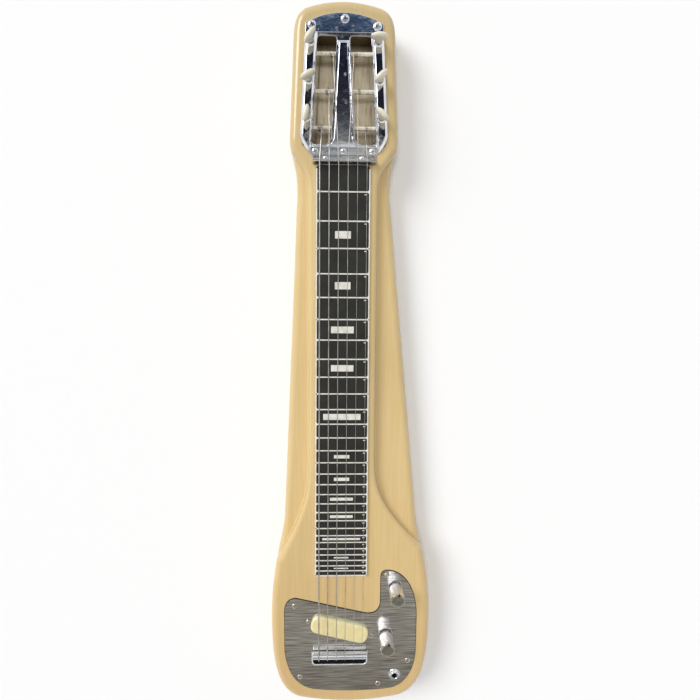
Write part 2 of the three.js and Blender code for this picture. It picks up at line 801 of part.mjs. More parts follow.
function makeNut() {
  const minX = nutOffset - nutLength / 2;
  const maxX = nutOffset + nutLength / 2;
  const flange = block(minX, maxX, -nutFront, nutFlange - nutFront, face, face + nutSheet);
  const wall = block(minX, maxX, -nutFront, -nutFront + nutSheet, face, face + nutHeight);
  const holes = nutScrewPlaces().map(([x, y]) =>
    upright(nutScrew.shank + pilotGap, face - overrun, face + nutHeight, x, y, smallSides));
  return cut(join(flange, wall), ...holes);
}

function nutScrewPlaces() {
  const y = (nutFlange - 2 * nutFront + nutSheet) / 2;
  return sides.map((side) => [nutOffset + outward[side] * nutScrewSpread[side], y]);
}

// Control plate

function plateShape() {
  const shape = new THREE.Shape();
  shape.moveTo(-plateBassEdge, low(plateBassEnd));
  shape.lineTo(-plateBassEdge, low(plateBassTop));
  curveTo(shape, plateShoulder[0], low(plateShoulder[1]), shoulderShares);
  shape.lineTo(plateValley[0], low(plateValley[1]));
  curveTo(shape, plateHornInner, low(plateHornFoot), valleyShares);
  shape.lineTo(plateHornInner, low(plateHornHead));
  curveTo(shape, plateHornTip[0], low(plateHornTip[1]), hornTipShares);
  curveTo(shape, plateTrebleEdge, low(plateTrebleTop), hornSideShares);
  shape.lineTo(plateTrebleEdge, low(plateTrebleEnd));
  curveTo(shape, plateTrebleHeel, low(plateFoot), trebleHeelShares);
  shape.quadraticCurveTo((plateTrebleHeel - plateBassHeel) / 2, low(plateFoot - plateFootBow),
    -plateBassHeel, low(plateFoot));
  curveTo(shape, -plateBassEdge, low(plateBassEnd), bassHeelShares);
  return shape;
}

function wellShape() {
  const minX = bridgeOffset - wellLength / 2;
  const maxX = bridgeOffset + wellLength / 2;
  const { start, end } = wellRound;
  return roundedPolygon([[minX, low(wellEnd)], [maxX, low(wellEnd)],
    [maxX, low(wellStart)], [minX, low(wellStart)]], [end, end, start, start]);
}

function makeControlPlate() {
  const top = plateTop + overrun;
  const bottom = face - overrun;
  const sheet = prism(plateShape(), face, plateTop);
  const pickup = pickupHole(pickupShape(-runningGap), bottom, top);
  const pots = [volumePlace, tonePlace].map(([x, y]) =>
    upright(bushRadius + runningGap, bottom, top, x, low(y), smallSides));
  const jack = upright(jackRadius + runningGap, bottom, top, jackPlace[0], low(jackPlace[1]));
  const screws = plateScrews.map(([x, y]) =>
    upright(smallScrew.shank + pilotGap, bottom, top, x, low(y), smallSides));
  const pickupHoles = pickupScrewPlaces().map(([x, y]) =>
    upright(pickupScrew.shank + pilotGap, bottom, top, x, y, smallSides));
  return cut(sheet, pickup, prism(wellShape(), bottom, top), ...pots, jack, ...screws, ...pickupHoles);
}

// Pickup

function pickupScrewPlaces() {
  return [-1, 1].map((end) => [
    pickupCentre[0] + end * pickupScrewSpan / 2 * Math.cos(pickupTurn),
    low(pickupCentre[1]) + end * pickupScrewSpan / 2 * Math.sin(pickupTurn),
  ]);
}

// The cover's outline, or a line inset from it, about the pickup's centre.
function pickupShape(inset = 0) {
  const x = pickupLength / 2 - inset;
  const y = pickupWidth / 2 - inset;
  return roundedPolygon([[-x, -y], [x, -y], [x, y], [-x, y]], pickupRound - inset);
}

// The strip between the two screws, rounded at both ends.
function pickupEarShape(inset = 0) {
  return stadium(pickupEarLength - 2 * inset, pickupPlateWidth - 2 * inset);
}

function makePickupCover() {
  const shell = easedPrism(pickupShape(), pickupPlateTop - pickupEdge, pickupTop,
    pickupEdge, curveSteps, roundingSteps);
  const trimmed = cut(shell, block(-pickupLength, pickupLength, -pickupLength, pickupLength,
    pickupPlateBottom - pickupBlock, pickupPlateTop));
  const inside = prism(pickupShape(pickupWall), pickupPlateTop - overrun, pickupTop - pickupWall);
  return cut(trimmed, inside);
}

function makePickupCoil() {
  const plate = join(
    prism(pickupEarShape(), pickupPlateBottom, pickupPlateTop),
    prism(pickupShape(), pickupPlateBottom, pickupPlateTop));
  const coil = prism(pickupShape(pickupWall + runningGap),
    pickupPlateBottom - pickupBlock, pickupTop - pickupWall - runningGap);
  const holes = [-1, 1].map((end) => upright(pickupScrew.shank + pilotGap,
    pickupPlateBottom - overrun, pickupPlateTop + overrun, end * pickupScrewSpan / 2, 0, smallSides));
  return cut(join(plate, coil), ...holes);
}

function addPickup() {
  const group = new THREE.Group();
  group.position.set(pickupCentre[0], low(pickupCentre[1]), 0);
  group.rotation.z = pickupTurn;
  guitar.add(group);
  addPiece("pickup_cover", makePickupCover(), cream, group);
  addPiece("pickup_coil", makePickupCoil(), darkPlastic, group);
}

// Volume and tone controls, and the output jack

function hexagon(width) {
  const radius = width / Math.sqrt(3);
  const corners = [0, 1, 2, 3, 4, 5].map((k) => k * Math.PI / 3);
  return polygon(corners.map((angle) => [radius * Math.cos(angle), radius * Math.sin(angle)]));
}

function addControl(name, [x, y]) {
  const group = new THREE.Group();
  group.position.set(x, low(y), 0);
  guitar.add(group);
  const bushTop = plateTop + bushRise;
  const knobBottom = plateTop + knobGap;
  const shaftTop = knobBottom + potShaftHeight;
  const caseTop = face - runningGap;
  const shaftBottom = caseTop - potHeight / 2;
  const casing = join(upright(potRadius, caseTop - potHeight, caseTop, 0, 0),
    spindle(bushRadius, caseTop - runningGap, bushTop));
  const bore = spindle(potShaftRadius + runningGap, shaftBottom - runningGap, bushTop + overrun);
  addPiece(`${name}_pot`, cut(casing, bore), steel, group);
  const nut = cut(prism(hexagon(potNutWidth), plateTop, plateTop + potNutHeight),
    spindle(bushRadius + runningGap, face, bushTop + overrun));
  addPiece(`${name}_pot_nut`, nut, chrome, group);
  addPiece(`${name}_pot_shaft`, spindle(potShaftRadius, shaftBottom, shaftTop), steel, group);
  addPiece(`${name}_knob`, makeKnob(knobBottom, shaftTop, bushTop), chrome, group);
}

function makeKnob(bottom, shaftTop, bushTop) {
  const spots = [];
  for (let k = 0; k < 2 * knurlRidges; k++) {
    const radius = knobRadius - (k % 2) * knurlDepth;
    const angle = Math.PI * k / knurlRidges;
    spots.push([radius * Math.cos(angle), radius * Math.sin(angle)]);
  }
  const grip = easedPrism(polygon(spots), bottom, bottom + knobHeight, knobChamfer, 1);
  const bore = spindle(potShaftRadius + runningGap, bottom - overrun, shaftTop + runningGap);
  const relief = spindle(bushRadius + knobChamfer, bottom - overrun, bushTop + runningGap);
  return cut(grip, bore, relief);
}

function addJack() {
  const [x, y] = [jackPlace[0], low(jackPlace[1])];
  const barrel = upright(jackRadius, face - jackDepth, plateTop + jackRise, x, y);
  const bore = upright(jackBore, face - jackDepth + jackRise, plateTop + jackRise + overrun, x, y);
  addPiece("output_jack", cut(barrel, bore), chrome);
  const ring = upright(jackNutRadius, plateTop, plateTop + jackNutHeight, x, y);
  const hole = upright(jackRadius + runningGap, face, plateTop + jackNutHeight + overrun, x, y);
  addPiece("jack_nut", cut(ring, hole), chrome);
}

// Bridge and anchor

function makeBridge() {
  const minX = bridgeOffset - bridgeLength / 2;
  const maxX = bridgeOffset + bridgeLength / 2;
  const front = low(bridgeSheet / 2);
  const bar = crosswise(saddleRadius, minX, maxX, low(0), saddleAxis, smallSides);
  const wall = block(minX, maxX, front - bridgeSheet, front, wellFloor, saddleAxis);
  const foot = block(minX, maxX, front - bridgeFoot, front, wellFloor, wellFloor + bridgeSheet);
  return join(wall, bar, foot);
}

function anchorWall() {
  return low(-anchorFromBridge);
}

function makeAnchor() {
  const minX = bridgeOffset - bridgeLength / 2;
  const maxX = bridgeOffset + bridgeLength / 2;
  const back = anchorWall();
  const wall = block(minX, maxX, back - anchorSheet, back, wellFloor, wellFloor + anchorHeight);
  const foot = block(minX, maxX, back - anchorSheet, back + anchorFoot, wellFloor, wellFloor + anchorSheet);
  const slots = stringDiameters.map((diameter, i) => {
    const half = diameter / 2 + seatGap;
    const x = bridgeX(i);
    return block(x - half, x + half, back - anchorSheet - overrun, back + overrun,
      wellFloor + anchorHeight / 2, wellFloor + anchorHeight + overrun);
  });
  return cut(join(wall, foot), ...slots);
}

// Strings

function spreadX(spread, i) {
  return (i / (stringDiameters.length - 1) - 0.5) * spread;
}

function nutX(i) {
  return stringCentre + spreadX(nutSpread, i);
}

function bridgeX(i) {
  return stringCentre + spreadX(bridgeSpread, i);
}

// The angle at which a line from a point touches the upper side of a circle.
function touchAngle(away, radius) {
  return away.angle() - Math.acos(radius / away.length());
}

function stringPoints(i) {
  const radius = stringDiameters[i] / 2;
  const tuner = tuners()[i];
  const nut = new THREE.Vector2(-nutFront + nutSheet / 2, face + nutHeight + seatGap + radius);
  const post = new THREE.Vector2(tuner.post, postAxis);
  const turnRadius = postRadius + seatGap + radius;
  const start = touchAngle(nut.clone().sub(post), turnRadius);
  const pitch = stringDiameters[i] + turnGap;
  const reach = outward[tuner.side] * postReach[i];
  const points = [...saddlePoints(i, radius, nut)];
  points.push(new THREE.Vector3(nutX(i), nut.x, nut.y));
  for (let k = 0; k <= stringTurns[i] * turnSteps; k++) {
    const angle = start - 2 * Math.PI * k / turnSteps;
    const x = reach + outward[tuner.side] * pitch * k / turnSteps;
    points.push(new THREE.Vector3(x, post.x + turnRadius * Math.cos(angle),
      post.y + turnRadius * Math.sin(angle)));
  }
  return points;
}

// From the ball at the anchor up to the saddle bar and over it.
function saddlePoints(i, radius, nut) {
  const saddle = new THREE.Vector2(low(0), saddleAxis);
  const ball = new THREE.Vector2(anchorWall() - anchorSheet - seatGap - ballRadius,
    wellFloor + anchorHeight * slotShare);
  const bend = saddleRadius + seatGap + radius;
  const toNut = nut.clone().sub(saddle);
  const toBall = ball.clone().sub(saddle);
  const first = touchAngle(toBall, bend);
  const last = toNut.angle() + Math.acos(bend / toNut.length());
  const points = [new THREE.Vector3(bridgeX(i), ball.x, ball.y)];
  for (let k = 0; k <= saddleSteps; k++) {
    const angle = THREE.MathUtils.lerp(first, last, k / saddleSteps);
    points.push(new THREE.Vector3(bridgeX(i), saddle.x + bend * Math.cos(angle),
      saddle.y + bend * Math.sin(angle)));
  }
  return points;
}

function addStrings() {
  const gaps = stringDiameters.map((diameter, i) => {
    const points = stringPoints(i);
    const wire = tube(points, diameter / 2, stringSides);
    const ball = crosswise(ballRadius, bridgeX(i) - ballLength / 2, bridgeX(i) + ballLength / 2,
      points[0].y, points[0].z, smallSides);
    addPiece(`string_${i + 1}`, join(wire, ball), steel);
    return leastGap(points.slice(-stringTurns[i] * turnSteps), diameter);
  });
  console.log("least gap between a string's turns: " + Math.min(...gaps).toFixed(2) + " mm");
}

// The least clear distance between points half a turn or more apart along a winding.
function leastGap(points, diameter) {
  let least = Infinity;
  points.forEach((point, i) => points.slice(i + turnSteps / 2).forEach((other) => {
    least = Math.min(least, point.distanceTo(other) - diameter);
  }));
  return least;
}

// Screws

function makeScrew({ head, rise, shank, length }) {
  return turned([
    [0, -length], [shank, -length], [shank, 0], [head, 0], [head * domeShare, rise * domeShare], [0, rise],
  ], smallSides);
}

function screwSets() {
  return [
    { name: "pan_screw", screw: panScrew, seat: face + panSheet, places: panScrewPlaces.top },
    { name: "pan_foot_screw", screw: smallScrew, seat: face + panSheet, places: panScrewPlaces.foot },
    { name: "nut_screw", screw: nutScrew, seat: face + nutSheet, places: nutScrewPlaces() },
    { name: "plate_screw", screw: smallScrew, seat: plateTop, places: plateScrews.map(([x, y]) => [x, low(y)]) },
    { name: "pickup_screw", screw: pickupScrew, seat: plateTop, places: pickupScrewPlaces() },
  ];
}

function addScrews() {
  for (const { name, screw, seat, places } of screwSets())
    places.forEach(([x, y], i) => {
      addPiece(`${name}_${i + 1}`, makeScrew(screw), chrome).position.set(x, y, seat);
    });
}

function bodyPilots() {
  return screwSets().flatMap(({ screw, seat, places }) => places.map(([x, y]) =>
    upright(screw.shank + pilotGap, seat - screw.length - overrun, face + overrun, x, y, pilotSides)));
}

function makeFretboard() {
  const far = low(boardEndFromSaddle);
  return prism(polygon([
    [stringCentre - boardEndWidth / 2, far], [stringCentre + boardEndWidth / 2, far],
    [stringCentre + boardNutWidth / 2, -boardStart], [stringCentre - boardNutWidth / 2, -boardStart],
  ]), face, face + boardThickness);
}

addPiece("body", makeBody(), lacquer);
addPiece("fretboard", makeFretboard(), boardBlack);
addPiece("keyhead_pan", makePan(), chrome);
addPiece("nut", makeNut(), chrome);
addPiece("control_plate", makeControlPlate(), plateMetal);
addPiece("bridge", makeBridge(), chrome);
addPiece("string_anchor", makeAnchor(), steel);
addPickup();
addControl("volume", volumePlace);
addControl("tone", tonePlace);
addJack();
addTuners();
addStrings();
addScrews();

// Stand the guitar with the middle of its footprint on the origin.
const box = new THREE.Box3().setFromObject(guitar);
const centre = box.getCenter(new THREE.Vector3());
guitar.position.set(-centre.x, -centre.y, -box.min.z);

export default guitar;
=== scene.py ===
"""A six-string lap steel guitar on a pale floor: fine surfaces and materials around its solids.

Shapes are drawn in millimetres from the nut line (Y = 0) and the string centre line (X = 0),
with the head towards +Y and the back of the body at Z = 0, and then set down where the solids are.
"""
import json
import math

import bmesh
import bpy
from mathutils import Matrix, Vector

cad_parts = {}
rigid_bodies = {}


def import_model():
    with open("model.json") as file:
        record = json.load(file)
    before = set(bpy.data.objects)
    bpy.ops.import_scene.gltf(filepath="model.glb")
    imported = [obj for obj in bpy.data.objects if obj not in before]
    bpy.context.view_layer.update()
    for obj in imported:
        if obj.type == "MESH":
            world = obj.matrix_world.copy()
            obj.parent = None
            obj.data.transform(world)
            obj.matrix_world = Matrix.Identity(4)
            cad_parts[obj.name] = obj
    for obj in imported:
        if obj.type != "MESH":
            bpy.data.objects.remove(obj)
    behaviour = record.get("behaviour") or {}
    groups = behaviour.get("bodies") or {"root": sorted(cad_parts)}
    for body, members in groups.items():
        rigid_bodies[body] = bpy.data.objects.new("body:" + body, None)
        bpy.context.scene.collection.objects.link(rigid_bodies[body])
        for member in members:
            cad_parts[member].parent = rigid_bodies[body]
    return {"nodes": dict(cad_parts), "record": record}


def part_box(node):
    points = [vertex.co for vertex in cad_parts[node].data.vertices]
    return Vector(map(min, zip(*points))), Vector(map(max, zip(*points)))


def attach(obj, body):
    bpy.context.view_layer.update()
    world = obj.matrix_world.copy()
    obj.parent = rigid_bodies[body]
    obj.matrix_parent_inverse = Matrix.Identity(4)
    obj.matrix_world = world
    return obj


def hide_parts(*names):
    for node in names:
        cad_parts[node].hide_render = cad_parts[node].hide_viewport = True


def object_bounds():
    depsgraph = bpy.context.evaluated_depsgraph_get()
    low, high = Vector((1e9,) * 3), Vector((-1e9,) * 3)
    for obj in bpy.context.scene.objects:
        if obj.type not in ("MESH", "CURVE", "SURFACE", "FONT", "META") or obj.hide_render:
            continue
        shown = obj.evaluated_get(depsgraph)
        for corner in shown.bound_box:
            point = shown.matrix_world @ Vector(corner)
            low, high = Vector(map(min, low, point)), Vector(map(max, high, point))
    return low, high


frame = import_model()
CAD_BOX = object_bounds()

MM = 0.001
TURN = 2 * math.pi

# Which way a side faces along X, and its place in a pair of widths
SIDES = ((-1, 0), (1, 1))

# Points closer than the first are joined, and the second is as good as nothing
WELD_DISTANCE = 0.0001
TINY = 1e-9

# Shared heights and lengths
FACE = 44
SCALE_LENGTH = 571.5
STRING_CENTRE = 0.7
BOARD_START = 4.5
BOARD_END = 471.7
BOARD_TOP = FACE + 3
PLATE_TOP = FACE + 1.3
OVERCUT = 2
DRILL_TOP = FACE + 3

# Body outline: widths to the bass and the treble side, and Y
HEAD_Y = 156.6
ARCH = (36, 38, 150.9)
SHOULDER = (51.2, 53.9, 124)
HEAD_BASE = (56.2, 58.7, 22)
WAIST = (49.3, 51.7, -32)
HIP = (66.8, 90.7, -404)
BOUT = (82.9, 108.7, -532)
HEEL = (50, 72, -637)
TAIL_Y = -643.5
SHOULDER_SHARES = ((0.66, 0.12), (0.95, 0.4))
WAIST_SHARES = ((0, 0.26), (1, 0.37))
BOUT_SHARES = ((0.09, 0.2), (1, 0.5))
HEEL_SHARES = ((0, 0.54), (0.15, 0.91))
EDGE_ROUND = 8
EDGE_STEPS = 7
OUTLINE_STEP = 2.2
FLAT_MARGIN = 1

# Ledges beside the neck
LEDGE_TOP = FACE - 12
LEDGE_START_Y = 14
LEDGE_OUTSIDE = 2
RIDGE = (36, 37.3, -32)
RIDGE_END = (36.8, 38.9, -330)
LEDGE_END_Y = (-468, -452)
RIDGE_SHARES = ((0.5, 0.38), (1, 0.5))
LEDGE_END_SHARES = ((0, 0.41), (0.32, 0.59))
RIDGE_ROUND = 5
LEDGE_FILLET = 3
LEDGE_FILLET_SHARE = 1 / 3
LEDGE_BLEND = 16
RAY_REACH = 70

# Pockets in the body
CAVITY_DEPTH = 24
CAVITY_MARGIN = 1.5
CAVITY_LAND = 2.2
CAVITY_ROUND = 3
WELL = (-33.8, 33, -588.6, -569.2)
WELL_ROUNDS = (5.3, 5.3, 2, 2)
WELL_FLOOR = FACE - 27
WELL_MARGIN = 1
WELL_BELOW = 0.1
POCKET_GAP = 1.5
POCKET_FLOOR = 20
JACK_POCKET_RADIUS = 6.5
POT_POCKET_RADIUS = 10
POT_POCKET_FLOOR = 32

# Fretboard
BOARD_WIDTHS = (57.4, 61.9)
BOARD_ROUND = 1
BOARD_EASE = 0.3
PRINT_LINE = 1.4
PRINT_RISE = 0.06
BAND_RISE = 1.2 * PRINT_RISE
MARK_RISE = 2 * PRINT_RISE
CELL_SINK = 0.5
CELL_ROUND = 2
CELL_ROUND_SHARE = 1 / 2.4
BAND_LENGTH = 4.2
BAND_INSET = 0.3
BAND_MARGIN = 0.35
BAND_OVERLAP = 1
FRET_COUNT = 30
MARK_SINK = 0.4
# Fret that ends the cell: (width, length along the strings) of its mark
MARKS = {3: (17, 7.8), 5: (17, 7.8), 7: (25, 7.4), 9: (25, 7.2), 12: (42, 7), 15: (17.5, 4), 17: (17.5, 4),
         19: (26.5, 3.6), 21: (26.5, 3.4), 24: (44, 2.6), 27: (17, 1.7), 29: (17, 1.5)}
DOT_SIZE = (2.4, 1)
DOT_EDGE = 3.4
DOT_DROP = 2.2
DOT_DROP_SHARE = 0.3
BRAD_FRETS = (0, 3, 6, 10, 15, 22, 30)
BRAD_END = 1.6
BRAD_EDGE = 1.2
BRAD_PROFILE = ((0.9, -1), (0.9, 0.1), (0.55, 0.35), (0.2, 0.42))

# Keyhead pan
PAN_SHEET = 1.5
PAN_ARCH_Y = 143.2
PAN_ARCH = (38.2, 40.4, 133.2)
PAN_TOP = (39, 41.4, 121)
PAN_BASE = (44.6, 46.9, 25)
PAN_FOOT = (32.6, 35, 5.2)
PAN_FOOT_SHARES = ((0.02, 0.3), (0.5, 0.78))
PAN_ROUND = 0.45
SHORTEST_EDGE = 0.3
RAIL_WIDTH = 12.6
RAIL_TOP = FACE + 5
RAIL_BEVEL = 2.8
RAIL_OUTSIDE = 2
RAIL_TIP_Y = 6.4
RAIL_TIP = (36.6, 39)
RIB_TOP_WIDTH = 13.4
RIB_BASE_WIDTH = 24
RIB_TOP = FACE + 4
RIB_BEVEL = 3.3
RIB_FLARE = 9
RIB_END_Y = 117.5
RIB_OVERLAP = 2
VALLEY = (-35.5, 37.5, 112, 124.3)
VALLEY_SINK = 1.3
VALLEY_RISE = 0.55
VALLEY_FOOT_RISE = 0.02
WINDOW_FOOT_Y = 15.7
WINDOW_ROUND = 4.5
BEAD_RADIUS = 0.55
LIP_DEPTH = 12
LIP_LEAN = 2.2
COLLAR_PROFILE = ((4.6, -1.5), (4.6, 0.5), (4.2, 1), (4.2, 1.8), (3.8, 2.2), (2.4, 2.2), (2.3, 1))

# Tuning machines
POST_Y = (106, 69.6, 33.4)
POST_AXIS_Z = FACE - 4
POST_RADIUS = 2.3
POST_OUTSIDE = 3
POST_RIB_GAP = 1.3
GEAR_DISTANCE = 7.9
GEAR_TEETH = 12
GEAR_ROOT = 3.6
GEAR_TIP = 5.5
GEAR_WIDTH = 3
ROOT_SHARE = 0.26
TIP_SHARE = 0.1
BUTTON_BOTTOM = RAIL_TOP + 7.5
BUTTON_SIZE = (17, 6.6, 13)
BUTTON_TURNS = (78, 28, 52, 0, 42, -42)
BUTTON_FULLNESS = (0.88, 1.08, 0.92, 0.82)
NECK_PROFILE = ((2.6, -3.5), (3, -3.1), (3, -1), (2.5, 0.5), (2.4, 4))

# Nut and bridge
NUT_CENTRE = 1.8
NUT_LENGTH = 67.5
NUT_FRONT = -3
NUT_BACK = 4.6
NUT_SHEET = 1.8
NUT_TOP = FACE + 12.6
NUT_WALL_FOOT = 0.1
NUT_ROUNDS = (0.4, 0.45)
# Top of the dark strip of painted shade between the fretboard and the nut
SHADE_STRIP_TOP = FACE + 2.6
BRIDGE_CENTRE = -0.4
BRIDGE_LENGTH = 64.5
BRIDGE_WALL = 3
BRIDGE_FOOT = 3
BRIDGE_REACH = 3.5
BRIDGE_ROUND = 0.5
SADDLE_RADIUS = 2.6
SADDLE_Z = FACE + 10.1

# Strings, from the bass side
STRING_DIAMETERS = (1.4, 1.1, 0.9, 0.65, 0.45, 0.4)
NUT_SPREAD = 48.8
BRIDGE_SPREAD = 52
STRING_GAP = 0.3
STRING_TURNS = (2, 2, 2, 3, 3, 3)
TURN_GAP = 0.5
TURN_STEPS = 24
POST_REACH = (21.8, 14.5, 10.6, 11, 15.4, 23.2)
ANCHOR_REACH = 9.5
ANCHOR_SHEET = 2
ANCHOR_HOLE_Z = WELL_FLOOR + 9
BALL_RADIUS = 1.9
BALL_LENGTH = 3.2

# Control plate: a line's end, or a curve's end, handle shares and steps, clockwise from the bass side
PLATE_START = (-66.4, -570)
PLATE_HEAD = (
    ((-66.4, -520),),
    ((-52, -501.5), ((0, 0.65), (0.35, 1.05)), 12),
    ((27.9, -520.7),),
    ((48.5, -505), ((0.49, -0.16), (1, 0.04)), 16),
    ((48.5, -474),),
    ((57.5, -466), ((0, 0.75), (0.39, 1.05)), 10),
    ((91.6, -525), ((0.6, 0.034), (0.985, 0.44)), 24),
    ((91.6, -572),),
    ((60, -622), ((0.016, 0.48), (0.355, 0.94)), 18),
)
PLATE_TAIL = ((15, -627), (-30, -622))
PLATE_END_SHARES = ((0.6, 0.058), (0.92, 0.4))
PLATE_ROUND = 0.35
# A dark line round the plate: how far out it reaches, its foot and its top
DARK_BORDER_OUTSIDE = 0.7
DARK_BORDER_FOOT = FACE - 0.3
DARK_BORDER_TOP = FACE + 0.35
RIM_RADIUS = 0.85
RIM_INSET = 0.4
RIM_SHORT = 1
RIM_Z = PLATE_TOP + 0.1

# Pickup, knobs and jack
JACK = (66.9, -603.2)
VOLUME = (66, -488.9)
TONE = (55.4, -551.4)
JACK_HOLE_RADIUS = 5.3
POT_HOLE_RADIUS = 4.7
PICKUP = (-0.6, -540.2)
PICKUP_TURN = math.radians(-14.5)
PICKUP_SIZE = (70, 22)
PICKUP_ROUND = 10.4
PICKUP_FOOT = FACE - 5
PICKUP_TOP = PLATE_TOP + 5.2
PICKUP_EASE = 2.6
PICKUP_HOLE_GAP = 0.3
PICKUP_SCREW_REACH = 39
KNOB_BOTTOM = PLATE_TOP + 2.6
KNURL_DEPTH = 0.28
KNURL_COUNT = 56
# (height, radius, share of the knurl's depth)
KNOB_RINGS = ((0, 7.6, 0), (0.5, 8.1, 0), (1.2, 8.2, 0), (1.6, 8.2, 1), (17.6, 8.2, 1), (18, 8.2, 0),
              (18.9, 8.2, 0), (20.9, 8.2, 0), (21.25, 8, 0), (21.5, 7.5, 0), (21.5, 7, 0), (21.2, 6.5, 0),
              (21.15, 6, 0), (21.15, 1, 0))
KNOB_TOP_START = 20.8
MARK_PROFILE = ((1.7, 18.6), (1.7, 21.5), (1.4, 21.56))
MARK_PLACE = (1.3, 6.4, 0)
JACK_TOP = PLATE_TOP + 3
BORE_RADIUS = 3.25
BARREL_PROFILE = ((5, -26.3), (5, -0.5), (4.6, 0), (3.5, 0), (BORE_RADIUS, -0.3), (BORE_RADIUS, -23.3))
BORE_MARGIN = 0.05
WASHER_PROFILE = ((5.3, 0), (7.2, 0), (7.2, 0.3), (6.9, 0.6), (5.3, 0.6))
JACK_NUT_PROFILE = ((5.3, 0), (6.6, 0), (6.6, 1.7), (6, 2.4), (5.5, 2.4), (5.3, 2.1))

# Screws: places, and (head radius, rise, shank radius, length)
PAN_SCREWS = ((-32.1, 131.2), (1.6, 137.2), (34.6, 130.6))
PAN_FOOT_SCREWS = ((-29.2, 9.2), (0.8, 9.2), (31, 9.2))
NUT_SCREWS = ((-18, 1.7), (20.2, 1.7))
PLATE_SCREWS = ((-54.6, -510.4), (-48.5, -604.5), (46.7, -615), (82.6, -584.2), (55.1, -471.5))
LARGE_SCREW = (4.3, 2, 1.7, 14)
SMALL_SCREW = (3.1, 1.5, 1.4, 11)
NUT_SCREW = (2.5, 1.3, 1.2, 10)
PICKUP_SCREW = (2.6, 2, 1.3, 9)
SCREW_TURNS = (25, 67)
NECK_BELOW = 0.2
RECESS_ABOVE = 1
RECESS_SHARES = (0.55, 0.13, 0.35)

# Materials, in metres: how far the painted shade in creases and corners reaches, and the heights of bumps
CREASE_REACH = 0.007
CORNER_SHADE_REACH = 0.032
GRAIN_RELIEF = 0.0006
PIT_RELIEF = 0.00012
PLASTIC_RELIEF = 0.0002

# What a level mirror shows, by degrees north of the zenith
MIRRORED = (
    (-60, (1, 1, 1)), (-50, (0.62, 0.61, 0.58)), (-43, (0.34, 0.33, 0.3)), (-31, (0.33, 0.32, 0.295)),
    (-18, (0.5, 0.5, 0.48)), (12.7, (0.48, 0.47, 0.44)), (14, (0.24, 0.25, 0.24)), (16, (0.09, 0.095, 0.11)),
    (18, (0.03, 0.03, 0.045)), (22, (0.01, 0.01, 0.02)), (24, (0.03, 0.045, 0.08)), (26, (0.09, 0.14, 0.23)),
    (29, (0.55, 0.64, 0.78)), (34, (1, 1, 1)),
)
# Farther east or west of a middle than half a width, both in degrees, it is dark for a stretch to the north
DARK_MIDDLE = 0.83
DARK_HALF_WIDTH = 2.6
DARK_REACH = ((13.3, 0.0), (13.9, 1.0), (18, 1.0), (21, 0.0))
DARK_COLOR = (0.016, 0.016, 0.026)
# By the height of the direction, from 0 level to 1 straight up
LOW_SKY = ((0.45, 1.0), (0.62, 0.0))
SOFT_LIGHT = ((0.0, 0.43), (1.0, 0.32))
WHITE = (1, 1, 1)
# Name, strength, width in degrees and direction
LAMPS = (("key", 1.85, 30, (-0.78, 0.6, 0.8)), ("overhead", 0.92, 18, (-0.06, 0.12, 1)))
# In metres
FLOOR_REACH = 6
FLOOR_DROP = 0.0005
CLIP_START = 0.01
# The photograph's camera, fitted to its fret lines: millimetres above the fretboard, and degrees
CAMERA_PLACE = (-6.96, -120.11, 552.02 + BOARD_TOP)
CAMERA_TILT = (8.338, 1.662, -0.227)
FOCAL_SHARE = 505 / 700
SENSOR_WIDTH = 36

# Where the drawing's nut line and string centre line lie in the frame, read from the fretboard's solid
board_low, board_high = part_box("fretboard")
SHIFT = Vector(((board_low.x + board_high.x) / 2 / MM - STRING_CENTRE, board_high.y / MM + BOARD_START, 0))


# Mesh building

def bezier(spots, steps):
    """Points after the first spot along a Bezier curve that ends at the last and leans to those between."""
    order = len(spots) - 1
    points = []
    for k in range(1, steps + 1):
        t = k / steps
        weights = [math.comb(order, i) * t ** i * (1 - t) ** (order - i) for i in range(order + 1)]
        points.append(tuple(sum(w * spot[axis] for w, spot in zip(weights, spots)) for axis in (0, 1)))
    return points


def curve(start, end, shares, steps):
    """Points after start along a cubic whose two handles are shares of the step to its end."""
    (x0, y0), (x1, y1) = start, end
    handles = [(x0 + (x1 - x0) * across, y0 + (y1 - y0) * along) for across, along in shares]
    return bezier((start, *handles, end), steps)


def bow(start, handle, end, steps):
    """Points after start along a quadratic curve."""
    return bezier((start, handle, end), steps)


def quarter(radius, steps):
    """How far in and down a rounded edge lies, in pairs through a quarter turn."""
    angles = [math.pi / 2 * k / steps for k in range(steps + 1)]
    return [(radius * (1 - math.cos(a)), radius * (1 - math.sin(a))) for a in angles]


def vectors(points):
    return [Vector(point) for point in points]


def rectangle(x0, x1, y0, y1):
    return vectors([(x0, y0), (x1, y0), (x1, y1), (x0, y1)])


def evenly(points, step):
    """The same closed line with points a given step apart."""
    line = vectors([*points, points[0]])
    length = sum((b - a).length for a, b in zip(line, line[1:]))
    count = round(length / step)
    spots, travelled, target = [], 0, 0
    for a, b in zip(line, line[1:]):
        span = (b - a).length
        while span > 0 and target <= travelled + span + TINY and len(spots) < count:
            spots.append(a.lerp(b, (target - travelled) / span))
            target += length / count
        travelled += span
    return spots


def inward(points):
    """The inward normal at each point of a closed counter-clockwise line."""
    normals = []
    for i in range(len(points)):
        along = (points[(i + 1) % len(points)] - points[i - 1]).normalized()
        normals.append(Vector((-along.y, along.x)))
    return normals


def inset(points, distance):
    return [p + n * distance for p, n in zip(points, inward(points))]


def rounded(corners, radii, steps=5):
    """A polygon with its corners rounded, by one radius or by one for each."""
    points = []
    for i, corner in enumerate(corners):
        radius = radii[i] if isinstance(radii, (list, tuple)) else radii
        here = Vector(corner)
        start = here + (Vector(corners[i - 1]) - here).normalized() * radius
        end = here + (Vector(corners[(i + 1) % len(corners)]) - here).normalized() * radius
        points.append(start)
        points += vectors(bow(start, here, end, steps))
    return points


def around(count):
    """Angles spread evenly round a full turn."""
    return [TURN * k / count for k in range(count)]


